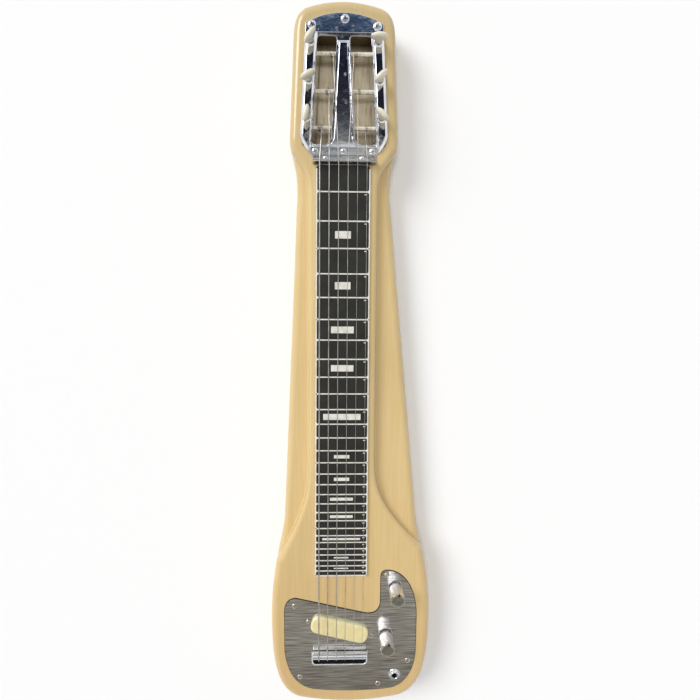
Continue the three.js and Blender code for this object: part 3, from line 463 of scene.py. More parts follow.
def on_circle(radius, angle, x=0, y=0):
    return x + radius * math.cos(angle), y + radius * math.sin(angle)


def circle(radius, count, x=0, y=0):
    return [Vector(on_circle(radius, angle, x, y)) for angle in around(count)]


def flat(points, z):
    return [Vector((p.x, p.y, z)) for p in points]


def loft(rings, hollow=False):
    """A closed mesh through rings of points, lowest first: capped, or joined from the last to the first."""
    bm = bmesh.new()
    made = [[bm.verts.new(p) for p in ring] for ring in rings]
    count = len(made[0])
    for low, high in zip(made, [*made[1:], made[0]] if hollow else made[1:]):
        for k in range(count):
            bm.faces.new((low[k], low[(k + 1) % count], high[(k + 1) % count], high[k]))
    if not hollow:
        bm.faces.new(list(reversed(made[0])))
        bm.faces.new(made[-1])
    return bm


def slab(points, bottom, top, ease=0, steps=4, rim=0.3):
    """A prism whose upper edge is rounded if asked. A narrow flat rim keeps the face's shading flat."""
    rings = [flat(points, bottom)]
    if ease:
        rings += [flat(inset(points, into), top - down) for into, down in quarter(ease, steps)]
        rings.append(flat(inset(points, ease + rim), top))
    else:
        rings.append(flat(points, top))
    return loft(rings)


def mitred(points, distance):
    """A line inside a closed one at a distance from every side, its corners kept sharp."""
    corners = []
    for i, point in enumerate(points):
        before = (point - points[i - 1]).normalized()
        after = (points[(i + 1) % len(points)] - point).normalized()
        half = Vector((-before.y - after.y, before.x + after.x)).normalized()
        corners.append(point + half * (distance / half.dot(Vector((-before.y, before.x)))))
    return corners


def chamfered(points, bottom, top, size):
    """A prism with a flat bevel round its upper edge."""
    return loft([flat(points, bottom), flat(points, top - size), flat(mitred(points, size), top)])


def bead(points, radius, z, within, count=10):
    """A round bead along a closed line, its middle within the line by a distance."""
    rings = []
    for point, normal in zip(points, inward(points)):
        spot = point + normal * within
        ring = []
        for angle in around(count):
            out, up = on_circle(radius, angle)
            ring.append(Vector((spot.x + normal.x * out, spot.y + normal.y * out, z + up)))
        rings.append(ring)
    return loft(rings, hollow=True)


def lathe(profile, count=32, base=0, hollow=False):
    """A turned shape from pairs of a radius and a height above a base, lowest first."""
    return loft([flat(circle(radius, count), base + z) for radius, z in profile], hollow)


def rod(start, end, radius, count=24, ease=0.2):
    """A round bar between two points, its ends eased."""
    start, end = Vector(start), Vector(end)
    length = (end - start).length
    bm = lathe([(radius - ease, 0), (radius, ease), (radius, length - ease), (radius - ease, length)], count)
    turn = (end - start).to_track_quat("Z", "Y").to_matrix().to_4x4()
    bm.transform(Matrix.Translation(start) @ turn)
    return bm


def tube(points, radius, count=12):
    """A round tube through points, each ring square to the bisector of its two stretches."""
    rings = []
    side = Vector((1, 0, 0))
    for i, point in enumerate(points):
        back = (point - points[max(i - 1, 0)]).normalized()
        ahead = (points[min(i + 1, len(points) - 1)] - point).normalized()
        along = (back + ahead).normalized()
        side = (side - along * side.dot(along)).normalized()
        up = along.cross(side)
        rings.append([point + side * radius * math.cos(a) + up * radius * math.sin(a) for a in around(count)])
    return loft(rings)


def block(x0, x1, y0, y1, z0, z1):
    return slab(rectangle(x0, x1, y0, y1), z0, z1)


def merged(*parts):
    """Several meshes in one, each still closed."""
    bm = bmesh.new()
    for part in parts:
        mesh = bpy.data.meshes.new("part")
        part.to_mesh(mesh)
        bm.from_mesh(mesh)
        bpy.data.meshes.remove(mesh)
    return bm


def moved(bm, x, y, z=0):
    bm.transform(Matrix.Translation((x, y, z)))
    return bm


def paint(bm, index, inside):
    """Gives the faces whose middles pass a test another of the piece's materials."""
    for face in bm.faces:
        if inside(face.calc_center_median()):
            face.material_index = index


def add_object(name, data):
    obj = bpy.data.objects.new(name, data)
    bpy.context.scene.collection.objects.link(obj)
    return obj


def scratch_object(bm, look):
    mesh = bpy.data.meshes.new("scratch")
    bmesh.ops.recalc_face_normals(bm, faces=bm.faces)
    bm.to_mesh(mesh)
    if look:
        mesh.materials.append(look)
    return add_object("scratch", mesh)


def combined(bm, operation, others, materials=(None, None)):
    """bm with every other mesh cut out of it or joined to it. Cut faces take the second material."""
    base = scratch_object(bm, materials[0])
    for other in others:
        modifier = base.modifiers.new("tool", "BOOLEAN")
        modifier.operation = operation
        modifier.solver = "EXACT" if materials[1] else "MANIFOLD"
        modifier.object = scratch_object(other, materials[1])
        if materials[1]:
            modifier.material_mode = "TRANSFER"
    mesh = bpy.data.meshes.new_from_object(base.evaluated_get(bpy.context.evaluated_depsgraph_get()))
    for obj in [base, *[modifier.object for modifier in base.modifiers]]:
        bpy.data.objects.remove(obj)
    result = bmesh.new()
    result.from_mesh(mesh)
    bmesh.ops.remove_doubles(result, verts=result.verts, dist=WELD_DISTANCE)
    return result


def cut(bm, *others):
    return combined(bm, "DIFFERENCE", others)


def bevelled(bm, width, segments=3, least_angle=30, shortest=0):
    """Rounds the edges that turn by more than an angle, after shorter ones than asked are closed up."""
    if shortest:
        bmesh.ops.triangulate(bm, faces=bm.faces)
        bmesh.ops.remove_doubles(bm, verts=bm.verts, dist=shortest)
    bmesh.ops.recalc_face_normals(bm, faces=bm.faces)
    least = math.radians(least_angle)
    edges = [e for e in bm.edges if len(e.link_faces) == 2 and e.calc_face_angle() > least]
    bmesh.ops.bevel(bm, geom=edges, offset=width, offset_type="OFFSET", segments=segments, profile=0.5,
                    affect="EDGES", clamp_overlap=not shortest)
    return bm


def piece(name, bm, materials, nodes=(), body="guitar", sharp=35, at=None):
    """An object in the frame from a mesh in the drawing's millimetres."""
    if at is not None:
        bm.transform(at)
    bm.transform(Matrix.Scale(MM, 4) @ Matrix.Translation(SHIFT))
    bmesh.ops.recalc_face_normals(bm, faces=bm.faces)
    for face in bm.faces:
        face.smooth = True
    for edge in bm.edges:
        edge.smooth = len(edge.link_faces) == 2 and edge.calc_face_angle() < math.radians(sharp)
    mesh = bpy.data.meshes.new(name)
    bm.to_mesh(mesh)
    bm.free()
    for look in materials if isinstance(materials, list) else [materials]:
        mesh.materials.append(look)
    obj = add_object(name, mesh)
    shading = obj.modifiers.new("shading", "WEIGHTED_NORMAL")
    shading.keep_sharp = True
    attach(obj, body)
    if nodes:
        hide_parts(*nodes)


# Materials

def material(name, color, roughness, metallic=0, coat=0, coat_roughness=0.04, specular=0.5):
    made = bpy.data.materials.new(name)
    made.use_nodes = True
    fill(made, made.node_tree.nodes["Principled BSDF"], {
        "Base Color": (*color, 1), "Roughness": roughness, "Metallic": metallic, "Coat Weight": coat,
        "Coat Roughness": coat_roughness, "Specular IOR Level": specular})
    return made


def fill(made, node, inputs):
    """Links each input to the output given for it, or sets it to the constant."""
    for socket, value in inputs.items():
        if isinstance(value, bpy.types.NodeSocket):
            made.node_tree.links.new(value, node.inputs[socket])
        else:
            node.inputs[socket].default_value = value


def add_node(made, kind, inputs=None, **settings):
    """A node of a material or world."""
    node = made.node_tree.nodes.new("ShaderNode" + kind)
    for name, value in settings.items():
        setattr(node, name, value)
    fill(made, node, inputs or {})
    return node


def set_input(made, name, value):
    fill(made, made.node_tree.nodes["Principled BSDF"], {name: value})


def noise(made, scale, detail=4, stretch=(1, 1, 1)):
    """A noise value over the object's own coordinates, in metres before scale."""
    where = add_node(made, "TexCoord")
    mapping = add_node(made, "Mapping", {"Vector": where.outputs["Object"], "Scale": stretch})
    vector = mapping.outputs["Vector"]
    return add_node(made, "TexNoise", {"Vector": vector, "Scale": scale, "Detail": detail}).outputs["Fac"]


def ramp(made, value, stops):
    """Colours, or greys, over a value."""
    node = add_node(made, "ValToRGB", {"Fac": value})
    elements = node.color_ramp.elements
    while len(elements) < len(stops):
        elements.new(0.5)
    for element, (position, color) in zip(elements, stops):
        element.position = position
        element.color = (*color, 1) if isinstance(color, tuple) else (color, color, color, 1)
    return node.outputs["Color"]


def mixed(made, factor, first, second, blend="MIX"):
    inputs = {0: factor, 6: first, 7: second}
    return add_node(made, "Mix", inputs, data_type="RGBA", blend_type=blend).outputs[2]


def tinted(made, color, *tints):
    for tint in tints:
        color = mixed(made, 1, color, tint, "MULTIPLY")
    return color


def vary(made, name, value, stops):
    """Drives an input of the shader by colours, or greys, over a value."""
    set_input(made, name, ramp(made, value, stops))


def bump(made, height, strength, relief):
    node = add_node(made, "Bump", {"Height": height, "Strength": strength, "Distance": relief})
    set_input(made, "Normal", node.outputs["Normal"])


def axes(made, vector):
    """The X, Y and Z of a vector, as outputs."""
    return add_node(made, "SeparateXYZ", {"Vector": vector}).outputs


def spread_between(made, value, least, most):
    """A value as a share of the way from least to most."""
    return add_node(made, "MapRange", {"Value": value, "From Min": least, "From Max": most}).outputs["Result"]


def along_guitar(made):
    """0 at the tail and 1 at the head, over the object's own coordinates."""
    where = axes(made, add_node(made, "TexCoord").outputs["Object"])
    return spread_between(made, where["Y"], CAD_BOX[0].y, CAD_BOX[1].y)


def upward(made):
    """1 where a surface faces up and 0 or less on walls."""
    return axes(made, add_node(made, "NewGeometry").outputs["Normal"])["Z"]


def openness(made, reach):
    """1 where nothing stands near a surface, and less in corners, within a distance in metres."""
    return add_node(made, "AmbientOcclusion", {"Distance": reach}).outputs["AO"]


def lacquer_material():
    """Aged blonde lacquer over faint grain, browner and darker towards the tail and the head, partly its tint
    and partly painted light fall-off, with painted shade in creases.
    """
    made = material("blonde_lacquer", (0.73, 0.54, 0.26), 0.24, coat=0.3, coat_roughness=0.1)
    grain = ramp(made, noise(made, 60, 2, (7, 0.3, 7)), [
        (0.3, (0.705, 0.51, 0.232)), (0.55, (0.732, 0.537, 0.256)), (0.75, (0.75, 0.556, 0.274))])
    clouds = ramp(made, noise(made, 5, 2), [(0.35, (0.94, 0.93, 0.92)), (0.65, WHITE)])
    # The lacquer's tint along the body, with painted light fall-off that darkens the tail and the head.
    tint_and_painted_falloff = ramp(made, along_guitar(made), [
        (0, (0.93, 0.88, 0.85)), (0.22, (1, 0.99, 0.97)), (0.45, (1.02, 1.04, 1.05)),
        (0.76, (0.99, 1.02, 1.03)), (0.82, (0.9, 0.92, 0.97)), (1, (0.86, 0.9, 0.96))])
    # Painted shade: darker in creases and corners, from ambient occlusion.
    creases = ramp(made, openness(made, CREASE_REACH), [(0.35, (0.5, 0.4, 0.3)), (0.72, WHITE)])
    set_input(made, "Base Color", tinted(made, grain, clouds, creases, tint_and_painted_falloff))
    vary(made, "Roughness", noise(made, 90, 2), [(0.35, 0.2), (0.7, 0.27)])
    return made


def raw_wood_material():
    """Bare wood, with painted shade on its walls and in its corners."""
    made = material("cavity_wood", (0.75, 0.66, 0.46), 0.75)
    grain = ramp(made, noise(made, 90, 7, (5, 0.6, 5)), [
        (0.3, (0.66, 0.54, 0.36)), (0.5, (0.85, 0.73, 0.52)), (0.8, (0.9, 0.82, 0.64))])
    # Painted shade: what faces sideways is darker than what faces up.
    walls = ramp(made, upward(made), [(0.4, (0.3, 0.25, 0.19)), (0.6, WHITE)])
    # Painted shade in corners and under the rails and posts, from ambient occlusion.
    painted_corner_shade = ramp(made, openness(made, CORNER_SHADE_REACH), [(0.22, (0.3, 0.24, 0.17)), (0.5, WHITE)])
    set_input(made, "Base Color", tinted(made, grain, walls, painted_corner_shade))
    bump(made, noise(made, 300, 6, (6, 0.6, 6)), 0.35, GRAIN_RELIEF)
    return made


def chrome_material():
    """Polished chrome, clouded and pitted by age."""
    made = material("chrome", (0.8, 0.81, 0.84), 0.07, 1)
    vary(made, "Roughness", noise(made, 150, 8), [(0.5, 0.04), (0.6, 0.1), (0.74, 0.32)])
    vary(made, "Base Color", noise(made, 55, 5), [(0.35, (0.62, 0.64, 0.69)), (0.6, (0.82, 0.83, 0.85))])
    bump(made, noise(made, 110), 1, PIT_RELIEF)
    return made


def plate_material():
    """Brushed metal with streaks along X, duller towards the tail."""
    made = material("plate_metal", (0.6, 0.58, 0.55), 0.12, 1)
    streaks = ramp(made, noise(made, 1300, 3, (0.025, 1, 1)), [
        (0.36, (0.36, 0.34, 0.31)), (0.5, (0.72, 0.7, 0.66)), (0.62, (0.97, 0.96, 0.93))])
    clouds = ramp(made, noise(made, 22, 3), [(0.35, (0.86, 0.84, 0.82)), (0.7, WHITE)])
    worn = ramp(made, along_guitar(made), [(0.03, (0.72, 0.71, 0.7)), (0.11, WHITE)])
    set_input(made, "Base Color", tinted(made, streaks, clouds, worn))
    vary(made, "Roughness", noise(made, 260, 4, (0.1, 1, 1)), [(0.3, 0.08), (0.7, 0.2)])
    return made


def metal_material(name, dull, bright, roughness, scale=300, metallic=1):
    """Worn metal between two colours, its roughness spread about a value."""
    made = material(name, bright, roughness, metallic)
    vary(made, "Base Color", noise(made, scale, 6), [(0.35, dull), (0.6, bright)])
    vary(made, "Roughness", noise(made, scale * 0.7, 5), [(0.3, roughness * 0.75), (0.7, roughness * 1.3)])
    return made


def plastic_material(name, color, roughness):
    made = material(name, color, roughness)
    pale = tuple(c * 1.7 for c in color)
    vary(made, "Base Color", noise(made, 260), [(0.35, color), (0.7, pale)])
    vary(made, "Roughness", noise(made, 180, 3), [(0.3, roughness * 0.85), (0.7, roughness * 1.15)])
    bump(made, noise(made, 900, 3), 0.1, PLASTIC_RELIEF)
    return made


def wire_material():
    made = material("string_wire", (0.6, 0.58, 0.54), 0.3, 1)
    vary(made, "Base Color", noise(made, 500, 3, (1, 0.2, 1)), [
        (0.35, (0.38, 0.36, 0.33)), (0.65, (0.6, 0.58, 0.54))])
    return made


def cream_material(name, color, side=WHITE):
    """Yellowed plastic, with painted light: a tint for what faces sideways."""
    made = material(name, color, 0.26, coat=0.25)
    pale = tuple(min(1, c * 1.06) for c in color)
    dull = tuple(c * 0.92 for c in color)
    clouds = ramp(made, noise(made, 120), [(0.32, dull), (0.6, color), (0.8, pale)])
    # Painted light: faces that turn sideways take the side tint.
    sides = ramp(made, upward(made), [(0.2, side), (0.9, WHITE)])
    set_input(made, "Base Color", tinted(made, clouds, sides))
    bump(made, noise(made, 700, 3), 0.05, PLASTIC_RELIEF)
    return made


def board_material():
    made = material("board_black", (0.03, 0.03, 0.026), 0.46, specular=0.32)
    vary(made, "Base Color", noise(made, 60), [(0.35, (0.02, 0.02, 0.018)), (0.7, (0.03, 0.03, 0.026))])
    vary(made, "Roughness", noise(made, 200), [(0.35, 0.4), (0.7, 0.5)])
    return made


def print_material():
    made = material("board_print", (0.83, 0.81, 0.74), 0.35)
    vary(made, "Base Color", noise(made, 160, 5), [(0.35, (0.72, 0.69, 0.6)), (0.6, (0.86, 0.84, 0.78))])
    return made


LACQUER = lacquer_material()
RAW_WOOD = raw_wood_material()
CHROME = chrome_material()
PLATE_METAL = plate_material()
STEEL = metal_material("aged_steel", (0.36, 0.31, 0.24), (0.62, 0.57, 0.49), 0.34)
POST_STEEL = metal_material("post_steel", (0.66, 0.58, 0.44), (0.88, 0.82, 0.7), 0.32, metallic=0.4)
BRASS = metal_material("brad_brass", (0.3, 0.21, 0.11), (0.5, 0.38, 0.22), 0.35)
KNURLED = metal_material("knurled_chrome", (0.78, 0.78, 0.81), (0.95, 0.95, 0.97), 0.38, 120)
KNOB_TOP = metal_material("knob_top_chrome", (0.36, 0.35, 0.3), (0.5, 0.49, 0.43), 0.12, 120)
WIRE = wire_material()
CREAM = cream_material("button_cream", (0.8, 0.75, 0.61))
# The side tint paints the pickup's walls paler, as if lit from the side.
PICKUP_CREAM = cream_material("pickup_cream", (0.84, 0.72, 0.38), (1.15, 1.3, 1.6))
BOARD_BLACK = board_material()
PRINT = print_material()
DARK_PLASTIC = plastic_material("dark_plastic", (0.018, 0.016, 0.014), 0.6)


# Body

def side_points(sign, side, *widths):
    """The points on one side that widths and Y give."""
    return [(sign * each[side], each[2]) for each in widths]


def body_outline():
    """The closed outline, counter-clockwise, with the four corner curves that the solids have."""
    arch_middle, heel_middle = [(widths[1] - widths[0]) / 2 for widths in (ARCH, HEEL)]
    lines = []
    for sign, side in SIDES:
        arch, shoulder, head_base, waist, hip, bout, heel = side_points(
            sign, side, ARCH, SHOULDER, HEAD_BASE, WAIST, HIP, BOUT, HEEL)
        start, end = (arch_middle, HEAD_Y), (heel_middle, TAIL_Y)
        line = [start]
        line += bow(start, ((arch_middle + arch[0]) / 2, HEAD_Y), arch, 16)
        line += curve(arch, shoulder, SHOULDER_SHARES, 24)
        line.append(head_base)
        line += curve(head_base, waist, WAIST_SHARES, 30)
        line.append(hip)
        line += curve(hip, bout, BOUT_SHARES, 40)
        line += curve(bout, heel, HEEL_SHARES, 40)
        line += bow(heel, ((heel_middle + heel[0]) / 2, TAIL_Y), end, 16)
        lines.append(line)
    bass, treble = lines
    return evenly(bass + treble[-2:0:-1], OUTLINE_STEP)


def ledge_line(sign, side):
    """The inner edge of a ledge, from outside the head to outside the bout."""
    ridge, ridge_end = side_points(sign, side, RIDGE, RIDGE_END)
    start = (sign * (HEAD_BASE[side] + LEDGE_OUTSIDE), LEDGE_START_Y)
    line = [start, *curve(start, ridge, RIDGE_SHARES, 60), ridge_end]
    line += curve(ridge_end, (sign * BOUT[side], LEDGE_END_Y[side]), LEDGE_END_SHARES, 80)
    return vectors(line)


def ray_distance(origin, direction, line):
    """How far along a direction a line is first met, or 0."""
    found = []
    for a, b in zip(line, line[1:]):
        span = b - a
        across = direction.x * span.y - direction.y * span.x
        if abs(across) < TINY:
            continue
        gap = a - origin
        distance = (gap.x * span.y - gap.y * span.x) / across
        share = (gap.x * direction.y - gap.y * direction.x) / across
        if 0 <= share <= 1 and 0 < distance < RAY_REACH:
            found.append(distance)
    return min(found, default=0)


def body_profile(ledge):
    """(distance in from the outline, height) pairs up one side, for a ledge of a given width."""
    share = min(ledge / LEDGE_BLEND, 1)
    ease = share * share * (3 - 2 * share)
    top_round = EDGE_ROUND + (RIDGE_ROUND - EDGE_ROUND) * ease
    fillet = min(LEDGE_FILLET * ease, ledge * LEDGE_FILLET_SHARE)
    spots = [(EDGE_ROUND + FLAT_MARGIN, 0)]
    spots += [(down, into) for into, down in quarter(EDGE_ROUND, EDGE_STEPS)]
    low = LEDGE_TOP - EDGE_ROUND
    flat_start = min(ledge - fillet, EDGE_ROUND)
    for step, _ in quarter(flat_start, EDGE_STEPS):
        spots.append((step, low + math.sqrt(max(EDGE_ROUND ** 2 - (EDGE_ROUND - step) ** 2, 0))))
    start_z = spots[-1][1]
    spots.append((ledge - fillet, start_z))
    spots += [(ledge - down, start_z + into) for into, down in quarter(fillet, EDGE_STEPS)[1::2]]
    spots += [(ledge + into, FACE - down) for into, down in quarter(top_round, EDGE_STEPS)]
    spots.append((ledge + top_round + FLAT_MARGIN, FACE))
    return spots


def make_body():
    outline = body_outline()
    normals = inward(outline)
    bass, treble = [ledge_line(*side) for side in SIDES]
    profiles = [body_profile(ray_distance(point, normal, bass if point.x < 0 else treble))
                for point, normal in zip(outline, normals)]
    rings = []
    for level in range(len(profiles[0])):
        ring = []
        for point, normal, profile in zip(outline, normals, profiles):
            depth, height = profile[level]
            ring.append(Vector((point.x + normal.x * depth, point.y + normal.y * depth, height)))
        rings.append(ring)
    return loft(rings)


def pan_share(y):
    """0 at the foot of the pan's sides and 1 at their head."""
    return (y - PAN_BASE[2]) / (PAN_TOP[2] - PAN_BASE[2])


def pan_edge(sign, side, y, depth=0):
    """X of the pan's side at Y, or of a line at a depth inside it."""
    return sign * (PAN_BASE[side] + (PAN_TOP[side] - PAN_BASE[side]) * pan_share(y) - depth)


def rib_edge(sign, y, depth=0):
    return sign * ((RIB_BASE_WIDTH + (RIB_TOP_WIDTH - RIB_BASE_WIDTH) * pan_share(y)) / 2 - depth)


def counter_clockwise(points):
    area = sum(a[0] * b[1] - b[0] * a[1] for a, b in zip(points, [*points[1:], points[0]]))
    return points if area > 0 else list(reversed(points))


def tuner_cavity():
    top, foot = PAN_TOP[2] + CAVITY_MARGIN, WINDOW_FOOT_Y - CAVITY_MARGIN
    corners = [(pan_edge(sign, side, y, CAVITY_LAND), y) for sign, side, y in
               ((1, 1, foot), (1, 1, top), (-1, 0, top), (-1, 0, foot))]
    return slab(rounded(corners, CAVITY_ROUND), FACE - CAVITY_DEPTH, FACE + OVERCUT)


def well_outline():
    return rounded(rectangle(*WELL), WELL_ROUNDS, 8)


def pickup_outline(gap=0):
    """The cover's outline, or a line round it at a gap, about the pickup's centre."""
    x, y = [size / 2 + gap for size in PICKUP_SIZE]
    return rounded(rectangle(-x, x, -y, y), PICKUP_ROUND + gap, 12)


def pickup_place():
    return Matrix.Translation((*PICKUP, 0)) @ Matrix.Rotation(PICKUP_TURN, 4, "Z")


def pickup_cutter(gap, bottom, top):
    bm = slab(pickup_outline(gap), bottom, top)
    bm.transform(pickup_place())
    return bm


def drill(x, y, radius, bottom):
    return slab(circle(radius, 32, x, y), bottom, DRILL_TOP)


def in_well(point):
    """Whether a face's middle lies on the walls or floor of the string well."""
    x0, x1, y0, y1 = WELL
    return (y0 - WELL_MARGIN < point.y < y1 + WELL_MARGIN and x0 - WELL_MARGIN < point.x < x1 + WELL_MARGIN
            and WELL_FLOOR - WELL_MARGIN < point.z < FACE - WELL_BELOW)


def add_body():
    pockets = [tuner_cavity(), pickup_cutter(POCKET_GAP, POCKET_FLOOR, FACE + OVERCUT),
               drill(*JACK, JACK_POCKET_RADIUS, POCKET_FLOOR)]
    pockets += [drill(*place, POT_POCKET_RADIUS, POT_POCKET_FLOOR) for place in (VOLUME, TONE)]
    bm = combined(make_body(), "DIFFERENCE", pockets, (LACQUER, RAW_WOOD))
    well = slab(well_outline(), WELL_FLOOR, FACE + OVERCUT)
    bm = combined(bm, "DIFFERENCE", [well], (None, DARK_PLASTIC))
    paint(bm, 2, in_well)
    piece("body_shell", bm, [LACQUER, RAW_WOOD, DARK_PLASTIC], ["body"], sharp=50)


# Fretboard

def fret_y(n):
    return -SCALE_LENGTH * (1 - 2 ** (-n / 12))


def board_half(y):
    share = (-y - BOARD_START) / (BOARD_END - BOARD_START)
    return (BOARD_WIDTHS[0] + (BOARD_WIDTHS[1] - BOARD_WIDTHS[0]) * share) / 2


def board_quad(top_y, foot_y, margin):
    foot, top = board_half(foot_y) - margin, board_half(top_y) - margin
    return vectors([(STRING_CENTRE - foot, foot_y), (STRING_CENTRE + foot, foot_y),
                    (STRING_CENTRE + top, top_y), (STRING_CENTRE - top, top_y)])


def printed_block(x, y, width, length):
    """A white patch of the print, about a point."""
    return block(x - width / 2, x + width / 2, y - length / 2, y + length / 2,
                 BOARD_TOP - MARK_SINK, BOARD_TOP + MARK_RISE)


def add_fretboard():
    outline = rounded(board_quad(-BOARD_START, -BOARD_END, 0), BOARD_ROUND)
    plate = slab(outline, FACE, BOARD_TOP, BOARD_EASE, 2)
    piece("fretboard_plate", plate, PRINT, ["fretboard"])
    cells, marks, dots = [], [], []
    for n in range(1, FRET_COUNT + 1):
        top = (-BOARD_START if n == 1 else fret_y(n - 1)) - PRINT_LINE / 2
        foot = max(fret_y(n), -BOARD_END + PRINT_LINE / 2) + PRINT_LINE / 2
        radius = min(CELL_ROUND, (top - foot) * CELL_ROUND_SHARE)
        if n == 1:
            top = -BOARD_START - BAND_LENGTH + BAND_OVERLAP
        cell = rounded(board_quad(top, foot, PRINT_LINE), radius, 4)
        cells.append(slab(cell, BOARD_TOP - CELL_SINK, BOARD_TOP + PRINT_RISE))
        if n in MARKS:
            marks.append(printed_block(STRING_CENTRE, (top + foot) / 2, *MARKS[n]))
        if n > 1:
            x = STRING_CENTRE + board_half(top) - PRINT_LINE - DOT_EDGE
            y = top - min(DOT_DROP, (top - foot) * DOT_DROP_SHARE)
            dots.append(printed_block(x, y, *DOT_SIZE))
    band = board_quad(-BOARD_START - BAND_INSET, -BOARD_START - BAND_LENGTH, BAND_MARGIN)
    cells.append(slab(band, BOARD_TOP - CELL_SINK, BOARD_TOP + BAND_RISE))
    piece("fretboard_cells", merged(*cells), BOARD_BLACK)
    piece("fretboard_marks", merged(*marks, *dots), PRINT)
    brads = []
    for n in BRAD_FRETS:
        y = min(max(fret_y(n), -BOARD_END + BRAD_END), -BOARD_START - BRAD_END)
        for sign in (-1, 1):
            x = STRING_CENTRE + sign * (board_half(y) - BRAD_EDGE)
            brads.append(moved(lathe(BRAD_PROFILE, 14, BOARD_TOP), x, y))
    piece("fretboard_brads", merged(*brads), BRASS)


# Keyhead pan

def pan_outline():
    lines = []
    for sign, side in SIDES:
        arch, top, base, foot = side_points(sign, side, PAN_ARCH, PAN_TOP, PAN_BASE, PAN_FOOT)
        middle = (0, PAN_ARCH_Y)
        lines.append([middle, *bow(middle, (arch[0] / 2, PAN_ARCH_Y), arch, 14), top, base,
                      *curve(base, foot, PAN_FOOT_SHARES, 14)])
    return vectors(lines[0] + lines[1][:0:-1])


def rail_outline(sign, side):
    """What bounds a rail inside the pan: its head end, the window and its slanting foot."""
    top, foot = PAN_TOP[2] + RAIL_BEVEL, WINDOW_FOOT_Y - RAIL_BEVEL
    places = ((RAIL_TIP_Y, -RAIL_OUTSIDE), (top, -RAIL_OUTSIDE), (top, RAIL_WIDTH), (foot, RAIL_WIDTH))
    corners = [(pan_edge(sign, side, y, depth), y) for y, depth in places]
    return vectors(counter_clockwise([*corners, (sign * RAIL_TIP[side], RAIL_TIP_Y)]))


def rib_outline():
    """The rib's sides, flaring at the foot into a ridge that runs below the windows."""
    top, flare_top, foot = RIB_END_Y + RIB_BEVEL + RIB_OVERLAP, WINDOW_FOOT_Y + RIB_FLARE, WINDOW_FOOT_Y
    lines = []
    for sign, side in SIDES:
        start = (rib_edge(sign, flare_top), flare_top)
        outer = pan_edge(sign, side, foot, RAIL_WIDTH - RIB_OVERLAP)
        lines.append([(rib_edge(sign, top), top), start,
                      *bow(start, (rib_edge(sign, foot), foot), (rib_edge(sign, foot, -RIB_FLARE), foot), 12),
                      (outer, foot), (outer, 0)])
    return vectors(lines[0] + lines[1][::-1])


def window_outline(sign, side):
    """One window, counter-clockwise: the corners are listed so for the treble side."""
    top, foot = PAN_TOP[2], WINDOW_FOOT_Y
    corners = [(pan_edge(sign, side, top, RAIL_WIDTH), top), (rib_edge(sign, top), top),
               (rib_edge(sign, foot), foot), (pan_edge(sign, side, foot, RAIL_WIDTH), foot)]
    radii = [WINDOW_ROUND, WINDOW_ROUND, RIB_FLARE, WINDOW_ROUND]
    return rounded(corners[::sign], radii[::sign], 8)


def valley():
    """A strip that slopes down from the arch to the heads of the windows."""
    x0, x1, y0, y1 = VALLEY
    top = FACE + PAN_SHEET
    bm = block(x0, x1, y0, y1, top - VALLEY_SINK, top)
    for vert in bm.verts:
        if vert.co.z > top - VALLEY_SINK / 2:
            vert.co.z += VALLEY_RISE if vert.co.y > (y0 + y1) / 2 else VALLEY_FOOT_RISE
    return bm


def lip(x_at):
    """One wall folded down from a long edge of a window, leaning a little into it."""
    top, foot = PAN_TOP[2] - WINDOW_ROUND, WINDOW_FOOT_Y + WINDOW_ROUND
    rings = []
    for lean, z in ((LIP_LEAN, FACE - LIP_DEPTH), (0, FACE + PAN_SHEET)):
        places = ((foot, -lean), (top, -lean), (top, PAN_SHEET - lean), (foot, PAN_SHEET - lean))
        corners = counter_clockwise([(x_at(y, depth), y) for y, depth in places])
        rings.append([Vector((x, y, z)) for x, y in corners])
    return loft(rings)


def machines():
    """(sign, side, post y, worm x, worm y) of the six machines, from the bass side."""
    places = []
    for (sign, side), rows in zip(SIDES, ((2, 1, 0), (0, 1, 2))):
        for row in rows:
            y = POST_Y[row] + GEAR_DISTANCE
            places.append((sign, side, POST_Y[row], pan_edge(sign, side, y, RAIL_WIDTH / 2), y))
    return places


def add_pan():
    sheet = slab(pan_outline(), FACE, FACE + PAN_SHEET)
    raised = chamfered(pan_outline(), FACE, RAIL_TOP, RAIL_BEVEL)
    rails = []
    for side in SIDES:
        rail = chamfered(rail_outline(*side), FACE, RAIL_TOP, RAIL_BEVEL)
        rails.append(combined(rail, "INTERSECT", [raised.copy()]))
    band = rectangle(-PAN_BASE[0], PAN_BASE[1], WINDOW_FOOT_Y - RIB_BEVEL, RIB_END_Y)
    rib = combined(chamfered(rib_outline(), FACE, RIB_TOP, RIB_BEVEL), "INTERSECT",
                   [chamfered(band, FACE, RIB_TOP, RIB_BEVEL)])
    windows = [slab(window_outline(*side), FACE - OVERCUT / 2, RAIL_TOP + OVERCUT / 2) for side in SIDES]
    shell = cut(combined(sheet, "UNION", [*rails, rib, valley()]), *windows)
    shell = bevelled(shell, PAN_ROUND, 3, 20, SHORTEST_EDGE)
    beads = [bead(window_outline(*side), BEAD_RADIUS, FACE + PAN_SHEET, -BEAD_RADIUS) for side in SIDES]
    lips = []
    for sign, side in SIDES:
        lips.append(lip(lambda y, depth: pan_edge(sign, side, y, RAIL_WIDTH - depth)))
        lips.append(lip(lambda y, depth: rib_edge(sign, y, depth)))
    collars = [moved(lathe(COLLAR_PROFILE, base=RAIL_TOP), x, y) for *_, x, y in machines()]
    piece("pan_cover", merged(shell, *lips, *collars, *beads), CHROME, ["keyhead_pan"], sharp=32)


# Tuning machines

def swelled(value, power):
    """A sine or cosine bent by a power, its sign kept."""
    return math.copysign(abs(value) ** power, value)


